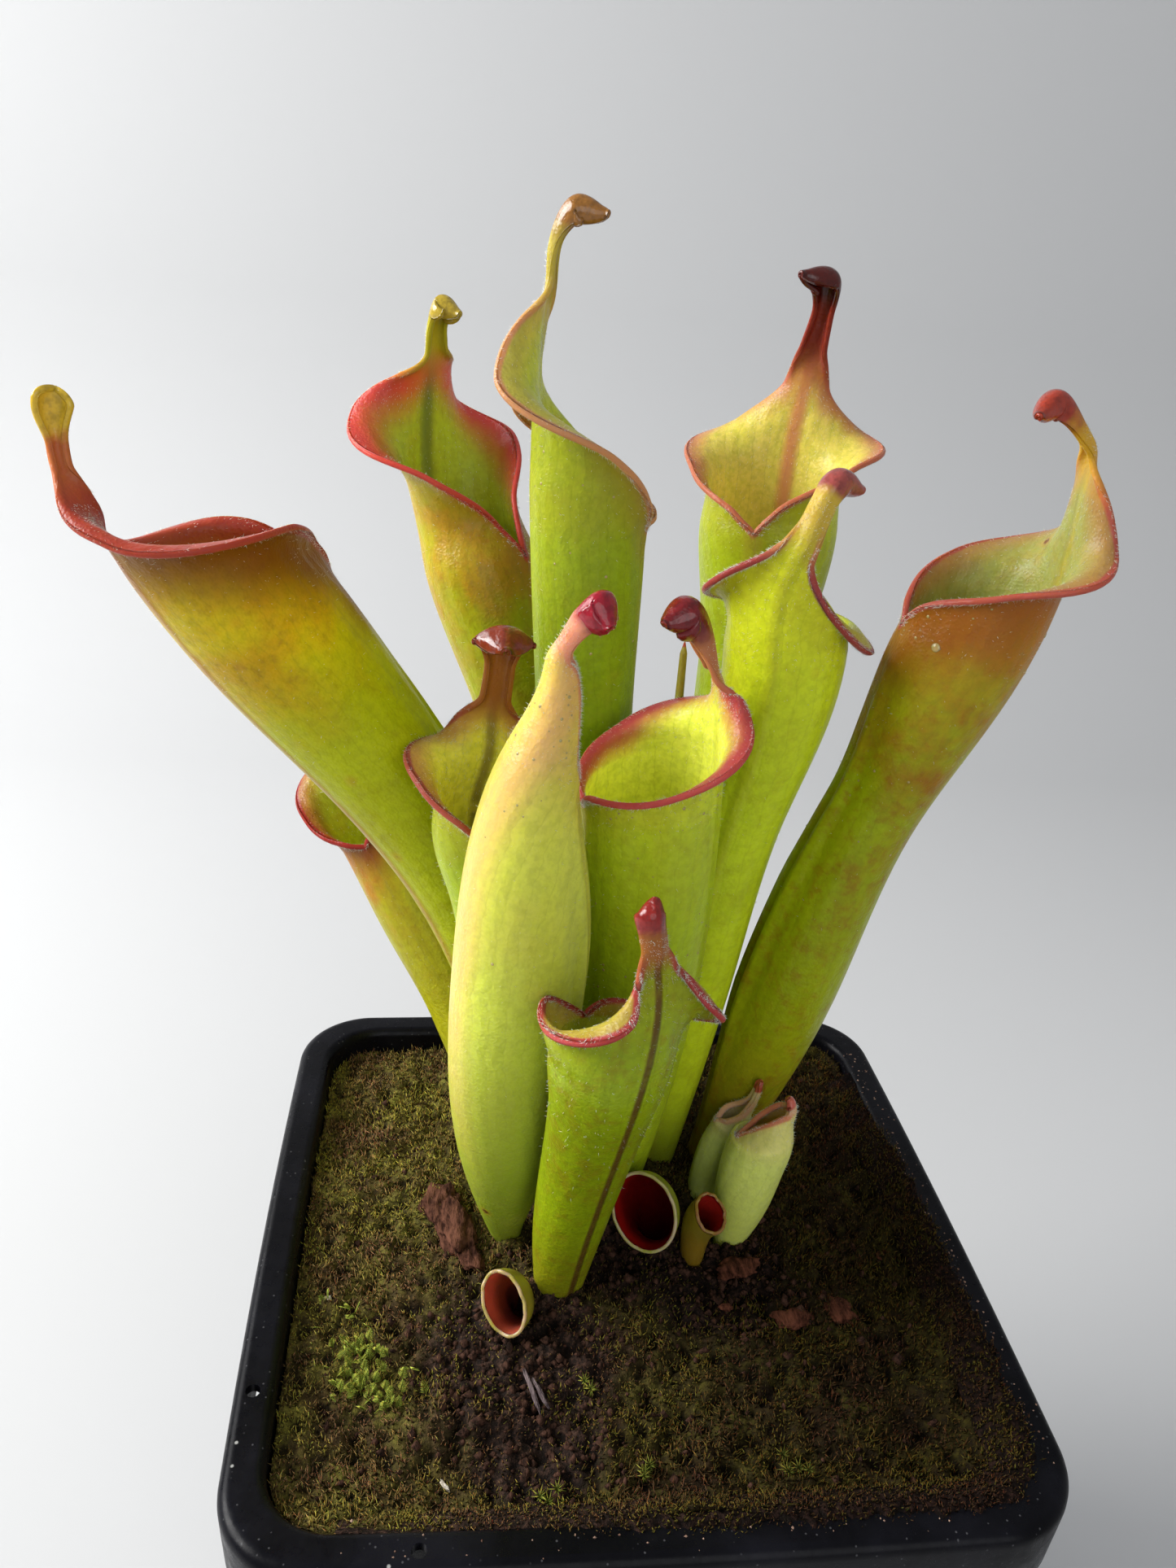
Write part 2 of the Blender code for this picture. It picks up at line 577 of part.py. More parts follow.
def spike_object(name, collection, look):
    """The thin new leaf that stands between the tall pitchers, still rolled to a point."""
    curve = bpy.data.curves.new(name, "CURVE")
    curve.dimensions = "3D"
    curve.bevel_depth = MM
    curve.bevel_resolution = 1
    curve.resolution_u = 3
    curve.use_fill_caps = True
    run = curve.splines.new("NURBS")
    run.points.add(len(SPIKE["line"]) - 1)
    run.use_endpoint_u = True
    for point, place, radius in zip(run.points, SPIKE["line"], SPIKE["radius"]):
        point.co = (*(v * MM for v in place), 1.0)
        point.radius = radius
    curve.materials.append(look)
    thing = bpy.data.objects.new(name, curve)
    collection.objects.link(thing)
    return thing


def hole_cutter(name, grid, collection):
    """The plain hole that a leaf's foot stands in: its lower rows, a little wider all round."""
    above = next((i for i, row in enumerate(grid) if row[:, 2].min() > HOLE_TOP), len(grid) - 1)
    low = grid[:above + 1, :-1]
    rings = []
    for row in low:
        middle = row.mean(axis=0)
        reach = np.linalg.norm(row - middle, axis=1, keepdims=True)
        rings.append(middle + (row - middle) * (1 + (LEAF_THICK / 2 + HOLE_SLACK) / reach))
    rings[0] = rings[0] - np.array([0.0, 0.0, LEAF_THICK / 2 + HOLE_SLACK])
    rings = np.array([np.vstack([ring, ring[:1]]) for ring in rings])
    cutter = add_object(name, skin(name, rings, len(rings), ("foot", "mouth")), collection)
    cutter.hide_render = True
    cutter.display_type = "WIRE"
    return cutter


def cut(thing, cutter):
    boolean = thing.modifiers.new(cutter.name, "BOOLEAN")
    boolean.operation = "DIFFERENCE"
    boolean.solver = "EXACT"
    boolean.object = cutter


def rounded_square(half, corner, bulge=0.0):
    """A square's outline with round corners and slightly swollen sides, counter-clockwise."""
    points = []
    straight = half - corner
    for quarter in range(4):
        angle = quarter * math.pi / 2
        turn = np.array([[math.cos(angle), -math.sin(angle)], [math.sin(angle), math.cos(angle)]])
        for k in range(SIDE_STEPS):
            share = -1 + 2 * k / SIDE_STEPS
            points.append(turn @ (half + bulge * (1 - share ** 2), share * straight))
        for k in range(CORNER_STEPS):
            bend = k / CORNER_STEPS * math.pi / 2
            points.append(turn @ (straight + corner * math.cos(bend),
                                  straight + corner * math.sin(bend)))
    return np.array(points)


def pot_profile():
    """The pot's section from the base's middle, out and up, over the rim and down inside.

    Each entry is half the width there, the corner's radius, the side's bulge and the height."""
    rim = POT_WIDTH / 2
    base = BASE_WIDTH / 2
    inner = rim - FLANGE_WIDTH
    top = POT_HEIGHT
    wall_out = inner + POT_WALL
    skirt_in = rim - SKIRT_WALL
    under = top - FLANGE_THICK
    rows = [
        (base - FOOT_BEVEL, BASE_CORNER - FOOT_BEVEL, 0.0, 0.0),
        (base, BASE_CORNER, 0.0, FOOT_BEVEL),
        (wall_out, INNER_CORNER + POT_WALL, SIDE_BULGE, under),
        (skirt_in - SKIRT_LEAN_TOP, RIM_CORNER - SKIRT_WALL, SIDE_BULGE, under),
        (skirt_in - SKIRT_LEAN_FOOT, RIM_CORNER - SKIRT_WALL, SIDE_BULGE, top - SKIRT_DEPTH),
        (rim - SKIRT_LEAN_OUT, RIM_CORNER, SIDE_BULGE, top - SKIRT_DEPTH),
    ]
    for inward, off, down in RIM_ROUND:
        rows.append((rim - inward, RIM_CORNER - off, SIDE_BULGE, top - down))
    for outward, on, down in INNER_ROUND:
        rows.append((inner + outward, INNER_CORNER + on, SIDE_BULGE, top - down))
    rows += [
        (base - POT_WALL, BASE_CORNER - FOOT_BEVEL, 0.0, FLOOR_THICK + FOOT_BEVEL),
        (base - POT_WALL - FOOT_BEVEL, BASE_CORNER - 2 * FOOT_BEVEL, 0.0, FLOOR_THICK),
    ]
    return rows


def lofted(name, sections):
    """A closed solid through rings of points, its two ends filled."""
    rings = np.array([np.vstack([ring, ring[:1]]) for ring in sections])
    return skin(name, rings, len(rings), ("foot", "mouth"))


def round_cutter(name, diameter, place, bottom, top, collection):
    made = bmesh.new()
    bmesh.ops.create_cone(made, cap_ends=True, segments=HOLE_SIDES, radius1=diameter / 2 * MM,
                          radius2=diameter / 2 * MM, depth=(top - bottom) * MM)
    mesh = bpy.data.meshes.new(name)
    made.to_mesh(mesh)
    made.free()
    cutter = add_object(name, mesh, collection)
    cutter.location = (place[0] * MM, place[1] * MM, (top + bottom) / 2 * MM)
    cutter.hide_render = True
    cutter.display_type = "WIRE"
    return cutter


def make_pot(collection, cutters, look):
    sections = []
    for half, corner, bulge, height in pot_profile():
        outline = rounded_square(half, corner, bulge)
        sections.append(np.column_stack([outline, np.full(len(outline), height)]))
    pot = add_object("pot", lofted("pot", sections), collection, look)
    pot.data.set_sharp_from_angle(angle=math.radians(SHARP_ANGLE))
    for i, place in enumerate(FLANGE_HOLE_PLACES):
        name = f"flange hole {i}"
        cut(pot, round_cutter(name, FLANGE_HOLE, place, POT_HEIGHT - 5, POT_HEIGHT + 2, cutters))
    for i in range(DRAIN_HOLES):
        angle = math.pi / 4 + i * 2 * math.pi / DRAIN_HOLES
        place = (DRAIN_HOLE_OUT * math.cos(angle), DRAIN_HOLE_OUT * math.sin(angle))
        cut(pot, round_cutter(f"drain hole {i}", DRAIN_HOLE, place, -1.0, 4.0, cutters))
    return pot


def soil_height(x, y):
    """The soil's top: a little higher under the clump than at the pot, and gently uneven."""
    away = (x - CLUMP_CENTRE[0]) ** 2 + (y - CLUMP_CENTRE[1]) ** 2
    mound = SOIL_MOUND * np.exp(-away / SOIL_MOUND_REACH ** 2)
    wave_x = np.sin(SOIL_WAVE_X[0] * x + SOIL_WAVE_X[1])
    wave_y = np.cos(SOIL_WAVE_Y[0] * y + SOIL_WAVE_Y[1])
    return SOIL_TOP + mound + SOIL_ROLL * wave_x * wave_y


def make_soil(collection, look):
    """The filling, which stands just clear of the pot's floor and walls."""
    floor_half = BASE_WIDTH / 2 - POT_WALL - FOOT_BEVEL
    wall_foot = floor_half + FOOT_BEVEL
    wall_top = POT_WIDTH / 2 - FLANGE_WIDTH
    wall_starts = FLOOR_THICK + FOOT_BEVEL
    wall_ends = POT_HEIGHT - INNER_ROUND[-1][2]
    level = (SOIL_TOP - wall_starts) / (wall_ends - wall_starts)
    top_half = wall_foot + (wall_top - wall_foot) * level
    corner = BASE_CORNER - FOOT_BEVEL + (INNER_CORNER - BASE_CORNER + FOOT_BEVEL) * level
    bottom = rounded_square(floor_half - SOIL_CLEAR, BASE_CORNER - 2 * FOOT_BEVEL)
    edge = rounded_square(top_half - SOIL_CLEAR, corner, SIDE_BULGE * level)
    underside = np.full(len(bottom), FLOOR_THICK + SOIL_CLEAR)
    sections = [np.column_stack([bottom, underside])]
    for share in SOIL_RINGS:
        x, y = edge[:, 0] * share, edge[:, 1] * share
        sections.append(np.column_stack([x, y, soil_height(x, y)]))
    return add_object("soil", lofted("soil", sections), collection, look)


def main():
    clear_scene()
    plant = new_collection("potted heliamphora tatei")
    cutters = new_collection("cutters")
    looks = {
        LEAF_GREEN: material("green pitcher", LEAF_GREEN),
        LEAF_AMBER: material("amber pitcher", LEAF_AMBER),
        LEAF_PALE: material("pale pitcher", LEAF_PALE),
        LEAF_DARK: material("dark juvenile leaf", LEAF_DARK),
    }
    make_pot(plant, cutters, material("black plastic", BLACK_PLASTIC))
    soil = make_soil(plant, material("peat and moss", PEAT))

    leaves = {}
    for name, leaf in GROWN.items():
        leaves[name] = pitcher_grid(leaf, ROWS, AROUND)
    for name, leaf in YOUNG.items():
        leaves[name] = pitcher_grid(leaf, YOUNG_ROWS, YOUNG_AROUND)
    for name, leaf in JUVENILE.items():
        leaves[name] = tube_grid(leaf, TUBE_ROWS, AROUND)
    for name, (grid, closed) in leaves.items():
        leaf_object(name, grid, closed, plant, looks)
        cut(soil, hole_cutter(f"hole for {name}", grid, cutters))

    spike_object("young_leaf_spike", plant, looks[LEAF_GREEN])
    spike_grid, _ = tube_grid(SPIKE, SPIKE_ROWS, SPIKE_AROUND)
    cut(soil, hole_cutter("hole for young_leaf_spike", spike_grid, cutters))


main()
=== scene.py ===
"""The looks of a sun pitcher plant in a square black nursery pot.

Fine leaves, moss, litter and a pot stand in for the coarse solids of the frame. The leaves follow the
same keels and tables as the solids do. Sizes in the tables are millimetres; +Z is up, -Y the front.
"""

import math

import bmesh
import bpy
import numpy as np
from mathutils import Matrix, Vector, noise


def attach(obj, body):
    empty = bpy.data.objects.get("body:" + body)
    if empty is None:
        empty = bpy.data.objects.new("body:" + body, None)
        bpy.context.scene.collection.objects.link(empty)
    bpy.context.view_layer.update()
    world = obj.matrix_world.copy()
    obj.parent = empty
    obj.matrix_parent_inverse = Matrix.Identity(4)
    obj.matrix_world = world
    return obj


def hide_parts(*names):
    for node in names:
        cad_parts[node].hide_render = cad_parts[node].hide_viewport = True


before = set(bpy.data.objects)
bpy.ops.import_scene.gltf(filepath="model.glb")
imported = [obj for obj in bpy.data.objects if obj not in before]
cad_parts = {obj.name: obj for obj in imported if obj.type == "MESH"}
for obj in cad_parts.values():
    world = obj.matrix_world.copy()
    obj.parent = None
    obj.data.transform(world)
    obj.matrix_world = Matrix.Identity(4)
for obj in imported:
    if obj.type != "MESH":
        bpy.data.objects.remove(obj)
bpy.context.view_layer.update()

MM = 0.001

# Pot
POT_HEIGHT = 125.0
POT_WIDTH = 130.0
BASE_WIDTH = 96.0
POT_WALL = 1.5
FLANGE_WIDTH = 6.6
FLANGE_THICK = 1.6
SKIRT_DEPTH = 13.0
SKIRT_WALL = 1.2
RIM_CORNER = 15.0
INNER_CORNER = 11.0
BASE_CORNER = 10.0
FLOOR_THICK = 2.0
SIDE_BULGE = 0.6
LIP_OUTER_ROUND = 1.9
LIP_INNER_ROUND = 1.7
CORNER_STEPS = 28
SIDE_STEPS = 24
FLANGE_HOLE = 2.3
FLANGE_HOLE_PLACES = ((-62.2, -35.5), (-35.5, -62.2))
DRAIN_HOLE = 8.0
DRAIN_HOLE_OUT = 26.0
HOLE_SIDES = 40

# Soil. Where the first leaves' tubes stand it lies lower, so that none shows in them.
SOIL_TOP = 119.0
SOIL_MOUND = 3.2
SOIL_MOUND_REACH = 24.0
SOIL_ROLL = 0.7
CLUMP_CENTRE = (-2.0, 8.0)
SOIL_HALF = 58.0
SOIL_GRID = 190
UNDER_TUBES = 112.0
# What the ground's colours are multiplied by: painted shade towards the pot's right, and painted light at
# its back left.
SHADED_TINT = (0.68, 0.65, 0.72)
LIT_TINT = (2.7, 2.8, 2.9)
# Height, fineness and layer of the noise in the ground's lumps, crumbs and grains.
RELIEF = ((2.0, 0.10, 3.0), (1.6, 0.38, 8.0), (0.8, 1.1, 5.0))
# How far the ground rises at the pot's wall, and sinks where the peat is bare.
WALL_RISE = 6.0
PEAT_SINK = 1.2
MOSS_STRANDS = 52000
RIM_CRUMBS = 260
PEAT_CRUMBS = 9000
RIM_CORNER_STARTS = 54
CRUMB_CORNERS = ((1, 0, 0), (0, 1, 0), (-1, 0, 0), (0, -1, 0), (0, 0, 1), (0, 0, -1))
CRUMB_SIDES = ((0, 1, 4), (1, 2, 4), (2, 3, 4), (3, 0, 4), (1, 0, 5), (2, 1, 5), (3, 2, 5), (0, 3, 5))
# The strip of moss over the rim: how far it reaches out and in, how high its ridge stands and how
# deep its inner side goes down.
BANK_WIDTH = 2.2
BANK_INSIDE = 5.0
BANK_HEIGHT = 1.1
BANK_SLOPE = 2.6
# Over what lengths it thins out at its two ends.
BANK_FADES = (45, 30)
BANK_ROWS = 520
BANK_COLUMNS = 14
BANK_STRANDS = 5200
# Middle and reach of the bare peat, in front of the clump and round it.
PEAT_PATCHES = (((-20, -26), 16), ((0, 0), 14), ((-18, -44), 10), ((16, -8), 14))
# Leaves of a star-shaped shoot, the turn from one to the next, and leaf pairs of a feathery one.
STAR_LEAVES = 13
STAR_TURN = 2.4
FEATHER_PAIRS = 8
# Middle and number of shoots of the star-shaped moss.
STAR_TUFTS = (((-15.5, -53), 4), ((-14, -55.5), 3), ((-6.5, -32.5), 2), ((-2, -48.5), 3),
              ((22.5, -50), 5), ((40, -55), 2), ((57, -30.5), 3))
# Middle, spread and number of shoots of the feathery moss.
FEATHER_PATCHES = (((-47, -24), 2.0, 26), ((-47, -30), 2.2, 26), ((-42.5, -33.5), 1.8, 24),
                   ((-51, -17), 2.4, 8), ((-39, -27), 3.0, 6))
# Middle, half size and turn of each lump.
LITTER = {
    "bark": (((-31, 2), (4.0, 7.4, 2.2), 18), ((-33.5, 9), (3.2, 4.6, 1.9), -15),
             ((-28, -5), (2.2, 3.4, 1.2), 30)),
    "rust": (((29.5, -20.5), (4.0, 2.0, 0.5), 10), ((38.5, -19), (2.2, 3.2, 0.5), 35),
             ((53, -7), (2.0, 2.6, 0.4), 60), ((22, -9), (4.2, 2.2, 0.6), 15),
             ((18, -17.5), (1.2, 0.7, 0.5), 0)),
    "pale": (((-32, -49), (1.2, 0.28, 0.25), -50), ((-41, -56), (0.6, 0.3, 0.3), 70),
             ((-53, -13), (0.8, 0.6, 0.4), 30)),
    "twig": (((-18, -33.5), (0.42, 4.2, 0.40), 15), ((-16.6, -34), (0.34, 3.2, 0.32), 22)),
}

# Stations up a leaf: foot 0, belly, waist, throat, brim, side, lobe, crest, neck, bend, cap, tip 11.
BELLY, WAIST, THROAT = 1, 2, 3
LOBE, CREST, NECK, BEND = 6, 7, 8, 9
TUBE_STATIONS = THROAT + 1
# Where brim and side lie between throat and lobe, unless a leaf's table says otherwise.
BRIM_SHARE = 0.25
SIDE_SHARE = 0.60

# Leaves: rows up and columns round each sheet, its thickness, the lip's and how far in that reaches,
# where things on a leaf are rooted, and the fine steps that a row's outline and a keel are worked out by.
ROWS = 132
AROUND = 56
YOUNG_ROWS = 84
YOUNG_AROUND = 40
TUBE_ROWS = 44
SHEET_THICK = 0.62
LIP_THICK = 1.05
LIP_REACH = 0.9
UNDER_SKIN = SHEET_THICK * 0.45
SECTION_STEPS = 120
KEEL_STEPS = 500
SPIKE_ROWS = 60
SPIKE_AROUND = 16
# How the rows are shared out from one station to the next.
ROW_SHARES = (3, 3, 4, 3, 3, 4, 4, 2, 2, 3, 4)
# A plain leaf from brim to tip, and the roll from the throat on: half its width in throat radii, how
# far a half row turns and curls back in degrees, how far its edge rolls out in millimetres, and how far
# it hangs in throat radii. A leaf's own table may give each of these, for one side or for both.
HALF_WIDTH = (2.85, 2.05, 1.3, 0.62, 0.22, 0.24, 0.62, 0.15)
TURN = (162, 112, 60, 45, 60, 80, 125, 140)
CURL = (0, 20, 118, 80, 0, 0, 0, 0)
ROLL = (0.2, 0.8, 1.1, 1.0, 0.4, 0, 0, 0, 0)
DROP = (0, 0, 0.05, 0, 0, 0, 0, 0)
STRAIGHT = (0,) * 8
# Where on the way from keel to edge the roll, the drop and the curl start.
ROLL_STARTS = 0.8
DROP_STARTS = 0.4
CURL_STARTS = 0.15
# How far a lip sinks as it rolls out.
LIP_SINKS = 0.6
# The round edge between a leaf's two faces: degrees from its middle, and how far it stands out.
LIP_ARC = ((-60, 0.5), (-30, 0.87), (0, 1.0), (30, 0.87), (60, 0.5))
# Steps from one point of the free edge to the next, when the distance to it is measured.
EDGE_FINENESS = 5
# The wings either side of the seam: each leaf's height, the shares of it up the leaf, how far they
# stand from the seam, and their thickness.
WINGS = {"pitcher_right_tall": 2.2, "pitcher_closed": 2.2, "pitcher_centre_open": 1.2,
         "pitcher_front_small": 1.2, "pitcher_mid_right": 1.2, "pitcher_left_tall": 1.2}
WING_STATIONS = (0.2, 0.9, 1.6, 2.4, 3.0)
WING_HEIGHTS = (0.0, 0.7, 1.0, 0.5, 0.0)
WING_APART = 1.9
WING_THICK = 1.1
# Hairs of a grown leaf: how many, and half their width at the root. Some lips are felted, and some
# leaves have only a share of the hairs.
LIP_HAIRS = 1500
OUTER_HAIRS = 1100
INNER_HAIRS = 900
HAIR_WIDTH = 0.042
FELTED = {"pitcher_front_small": 2.0, "pitcher_mid_right": 1.8, "pitcher_centre_open": 1.5,
          "pitcher_mid_left": 1.4}
HAIR_SHARES = {"young_pitcher_right": 0.35, "young_pitcher_small": 0.2, "pitcher_left_low": 0.5,
               "pitcher_closed": 0.8}
# Fine beads and broad scales on the outside.
BEADS = {"pitcher_right_tall": (110, 16), "pitcher_centre_open": (150, 2), "pitcher_centre_tall": (60, 4),
         "pitcher_closed": (60, 0)}
# A bead's sides, its height in half widths, and where its rings stand on the quarter turn to its top.
BEAD_SIDES = 10
BEAD_HEIGHT = 0.35
BEAD_LEVELS = (0.0, 0.35, 0.7)
# How uneven the mouths of the first leaves are.
RIM_RAGGED = 0.45

GROWN = {
    "pitcher_left_tall": dict(
        front=30,
        axis=((-14, 20, 113), (-32, 30, 182.5), (-50, 30.5, 210.5), (-61.5, 27.5, 227)),
        radius=(3.5, 9.5, 12, 13.2),
        crest=((-86.5, 13, 248), (-89.5, 14, 252.5), (-92, 16, 257),
               (-92.5, 17, 260), (-92.5, 17, 266.5), (-92, 17, 268)),
        brim=0.36,
        side=0.66,
        half_width=(2.9, 2.25, 0.65, 0.24, 0.10, 0.10, 0.22, 0.20),
        turn=(175, 150, 60, 45, 60, 60, 60, 60),
        curl=(0, 20, 60, 60, 0, 0, 0, 0),
        roll_left=(0.4, 3.0, 1.8, 1.0, 0.4, 0, 0, 0, 0),
        drop_left=(0.1, 0.1, 0.1, 0, 0, 0, 0, 0),
        drop_right=(0.1, 0.15, 0, 0, 0, 0, 0, 0),
        twist=(0, 0, -15, -60, -90, -100, -100, -100),
    ),
    "pitcher_left_low": dict(
        front=-110,
        axis=((-21.5, 31, 113), (-28.5, 43, 142), (-40, 51, 162), (-50.5, 57, 179)),
        radius=(3.5, 8, 8.6, 8),
        crest=((-54.5, 65, 191.5), (-54.5, 66, 196.5), (-54.5, 65, 201.5),
               (-54.5, 64, 205.5), (-54, 63, 210.5), (-54, 60, 214.5)),
        half_width_left=(2.85, 1.95, 1.15, 0.62, 0.22, 0.24, 0.62, 0.15),
    ),
    "pitcher_back_left": dict(
        front=-42,
        axis=((-1, 37, 113), (-12.5, 50.5, 185.5), (-20.5, 56, 211.5), (-28.5, 60, 233)),
        radius=(4, 9.2, 9.8, 10.8),
        crest=((-40, 72, 261.5), (-39.5, 71, 268), (-39, 69, 273),
               (-39, 68, 277), (-37, 67, 282), (-34, 64, 279.5)),
        side=0.55,
        half_width=(2.5, 1.8, 1.3, 0.75, 0.25, 0.24, 0.52, 0.15),
        half_width_left=(2.5, 1.95, 1.5, 0.8, 0.25, 0.24, 0.52, 0.15),
        drop_left=(-0.1, -0.2, 0, 0, 0, 0, 0, 0),
        drop_right=(-0.45, -0.75, -0.2, 0, 0, 0, 0, 0),
    ),
    "pitcher_centre_tall": dict(
        front=-15,
        axis=((-1, 26, 113), (-6, 27.5, 170.5), (-9.5, 28.5, 207.5), (-12, 27.5, 249)),
        radius=(4, 9, 8.2, 9.2),
        crest=((-21.5, 29.5, 274.5), (-21, 29.5, 281.5), (-20.5, 29.5, 288),
               (-20.5, 28.5, 292), (-17, 27, 299), (-12.5, 25, 297)),
        half_width=(2.85, 2.05, 1.3, 0.62, 0.17, 0.19, 0.55, 0.15),
        half_width_left=(2.85, 2.15, 1.6, 0.8, 0.17, 0.19, 0.55, 0.15),
        roll=(0.4, 2.2, 1.8, 1.0, 0.4, 0, 0, 0, 0),
        drop_left=STRAIGHT,
        drop_right=(0.3, 0.9, 0.6, 0.2, 0, 0, 0, 0),
        twist=(0, 8, 8, 0, 0, 0, 0, 0),
    ),
    "pitcher_back_right": dict(
        front=-117,
        axis=((11, 35, 113), (21.5, 45, 179), (25, 53, 216), (26.5, 58, 244.5)),
        radius=(4, 8.8, 9.8, 13),
        crest=((33, 70, 263), (34, 70, 271), (34.5, 69, 278),
               (35, 68, 283.5), (34, 66, 291), (28, 62, 290.5)),
        brim=0.30,
        half_width=(2.75, 1.85, 1.15, 0.34, 0.2, 0.18, 0.42, 0.15),
        half_width_right=(2.75, 1.75, 1.1, 0.34, 0.2, 0.18, 0.42, 0.15),
        drop_left=(0, 0, 0.15, 0.05, 0, 0, 0, 0),
        drop_right=(-0.15, -0.3, -0.1, 0, 0, 0, 0, 0),
    ),
    "pitcher_mid_right": dict(
        front=65,
        axis=((10, 24, 113), (15, 22, 168), (18, 20, 199), (21.5, 17, 232.5)),
        radius=(3.8, 6.9, 7.7, 10),
        crest=((16.5, 5, 247), (18, 4, 252), (20, 5, 257),
               (21, 5, 260), (24, 7, 263.7), (28.5, 11, 261)),
        brim=0.22,
        side=0.50,
        half_width_left=(2.7, 1.95, 0.95, 0.22, 0.2, 0.22, 0.42, 0.15),
        half_width_right=(2.7, 1.75, 0.95, 0.38, 0.2, 0.22, 0.42, 0.15),
        curl_left=(0, 30, 20, 10, 0, 0, 0, 0),
        curl_right=(0, 20, 60, 50, 0, 0, 0, 0),
        drop_left=(0.1, 0.75, 0.3, 0, 0, 0, 0, 0),
        drop_right=(0, 0.12, 0.22, 0.08, 0, 0, 0, 0),
    ),
    "pitcher_right_tall": dict(
        front=173,
        axis=((21, 24, 113), (33.5, 20, 165.5), (42, 17, 202), (50.5, 14, 234)),
        radius=(4, 8.5, 7.4, 10.7),
        crest=((65.5, 13, 255), (65.5, 13, 262.5), (65, 12, 269),
               (62, 11, 272.5), (57, 10, 277), (52.5, 7, 274)),
        half_width=(2.85, 1.95, 1.15, 0.6, 0.22, 0.24, 0.42, 0.15),
        half_width_right=(2.85, 1.8, 0.95, 0.6, 0.22, 0.24, 0.42, 0.15),
        drop_left=(0, -0.15, -0.2, 0, 0, 0, 0, 0),
    ),
    "pitcher_closed": dict(
        front=-12,
        axis=((-20, 3, 113), (-22.5, -1, 144.5), (-22.2, -5.4, 186), (-19.5, -7, 223.5)),
        radius=(1.2, 8.1, 10.1, 5.9),
        crest=((-20.5, -7, 236), (-20, -7, 238.5), (-18.5, -7, 241),
               (-17.5, -7, 243), (-13.5, -9, 248), (-12, -11, 244)),
        half_width=(2.6, 1.9, 1.2, 0.8, 0.5, 0.6, 1.2, 0.25),
        turn=(180, 178, 176, 150, 120, 130, 140, 140),
        curl=STRAIGHT,
        drop=STRAIGHT,
        roll=STRAIGHT,
    ),
    "pitcher_centre_open": dict(
        front=190,
        axis=((-2, 10, 113), (0, 7, 156.5), (0.2, 5, 179), (-1, 4, 212.5)),
        radius=(4.2, 9.2, 10.5, 11.2),
        crest=((8.5, 4, 227.5), (8, 4, 231), (7, 3, 234),
               (6, 3, 238), (1.5, 1, 245), (-2.5, -1, 242)),
        brim=0.20,
        side=0.42,
        half_width_left=(2.85, 1.75, 0.78, 0.42, 0.2, 0.32, 0.68, 0.12),
        half_width_right=(2.85, 1.7, 0.6, 0.38, 0.2, 0.32, 0.68, 0.12),
        turn=(162, 112, 60, 45, 60, 120, 140, 140),
        drop_right=(-0.15, -0.2, 0, 0, 0, 0, 0, 0),
    ),
    "pitcher_front_small": dict(
        front=110,
        axis=((-12, -9, 113), (-11.2, -12, 134), (-8.7, -19, 166.5), (-8.3, -22.5, 179.5)),
        radius=(3.4, 5.9, 8.1, 9.3),
        crest=((-3.5, -29, 196), (-3.9, -29, 199), (-4.1, -30, 202.5),
               (-4.4, -30, 205), (-4.9, -30, 209), (-4.9, -28, 210)),
        brim=0.22,
        side=0.50,
        half_width=(2.8, 1.75, 0.9, 0.45, 0.22, 0.26, 0.42, 0.12),
        turn_right=(140, 105, 60, 45, 60, 80, 125, 140),
        drop_left=(-0.2, 0, 0.3, 0.15, 0, 0, 0, 0),
        drop_right=(-0.3, 0.1, 0.2, 0.1, 0, 0, 0, 0),
    ),
    "pitcher_mid_left": dict(
        front=-88,
        axis=((-16, 12, 113), (-24.5, 12.5, 173.5), (-27, 12.5, 189.5), (-29, 12.5, 201.5)),
        radius=(2.8, 5.8, 6.4, 7.2),
        crest=((-27, 20, 212.5), (-27, 20, 217.5), (-26.5, 19, 222.5),
               (-26, 18, 228), (-25.5, 15, 235.5), (-25.5, 9, 233.5)),
        brim=0.22,
        side=0.50,
        half_width=(2.8, 2.0, 1.4, 0.7, 0.35, 0.33, 0.8, 0.5),
        half_width_left=(2.9, 2.2, 1.65, 0.85, 0.35, 0.33, 0.8, 0.5),
        turn=(162, 112, 60, 45, 50, 50, 60, 80),
    ),
}

YOUNG = {
    "young_pitcher_right": dict(
        front=175,
        axis=((20.6, 0, 113), (24, 2, 127.5), (25.8, 2.5, 137), (26.8, 2.5, 142.5)),
        radius=(1.4, 5.2, 5.7, 5.4),
        crest=((31.8, 2.5, 146), (32, 2.5, 147.2), (31.9, 2.5, 148.2),
               (31.7, 2.5, 149), (31.1, 2.5, 150), (30.5, 2.5, 150.2)),
        brim=0.30,
        side=0.60,
        half_width=(2.7, 1.9, 0.95, 0.6, 0.4, 0.34, 0.34, 0.2),
        turn=(175, 160, 120, 100, 90, 90, 90, 90),
        curl=STRAIGHT,
        roll=STRAIGHT,
    ),
    "young_pitcher_small": dict(
        front=178,
        axis=((17.6, 10.6, 113), (19.4, 11.8, 125), (21.2, 12.2, 132), (23, 12.2, 136.5)),
        radius=(1.8, 2.9, 3.1, 3.1),
        crest=((26.8, 12.2, 140), (27.3, 12.2, 141.6), (27.6, 12.2, 143.2),
               (27.8, 12.2, 144.4), (27.9, 12.2, 145.6), (27.8, 12.2, 146.6)),
        brim=0.30,
        side=0.60,
        half_width=(2.7, 1.9, 0.9, 0.55, 0.4, 0.34, 0.3, 0.2),
        turn=(170, 130, 100, 100, 90, 90, 90, 90),
        curl=STRAIGHT,
        roll=STRAIGHT,
    ),
}

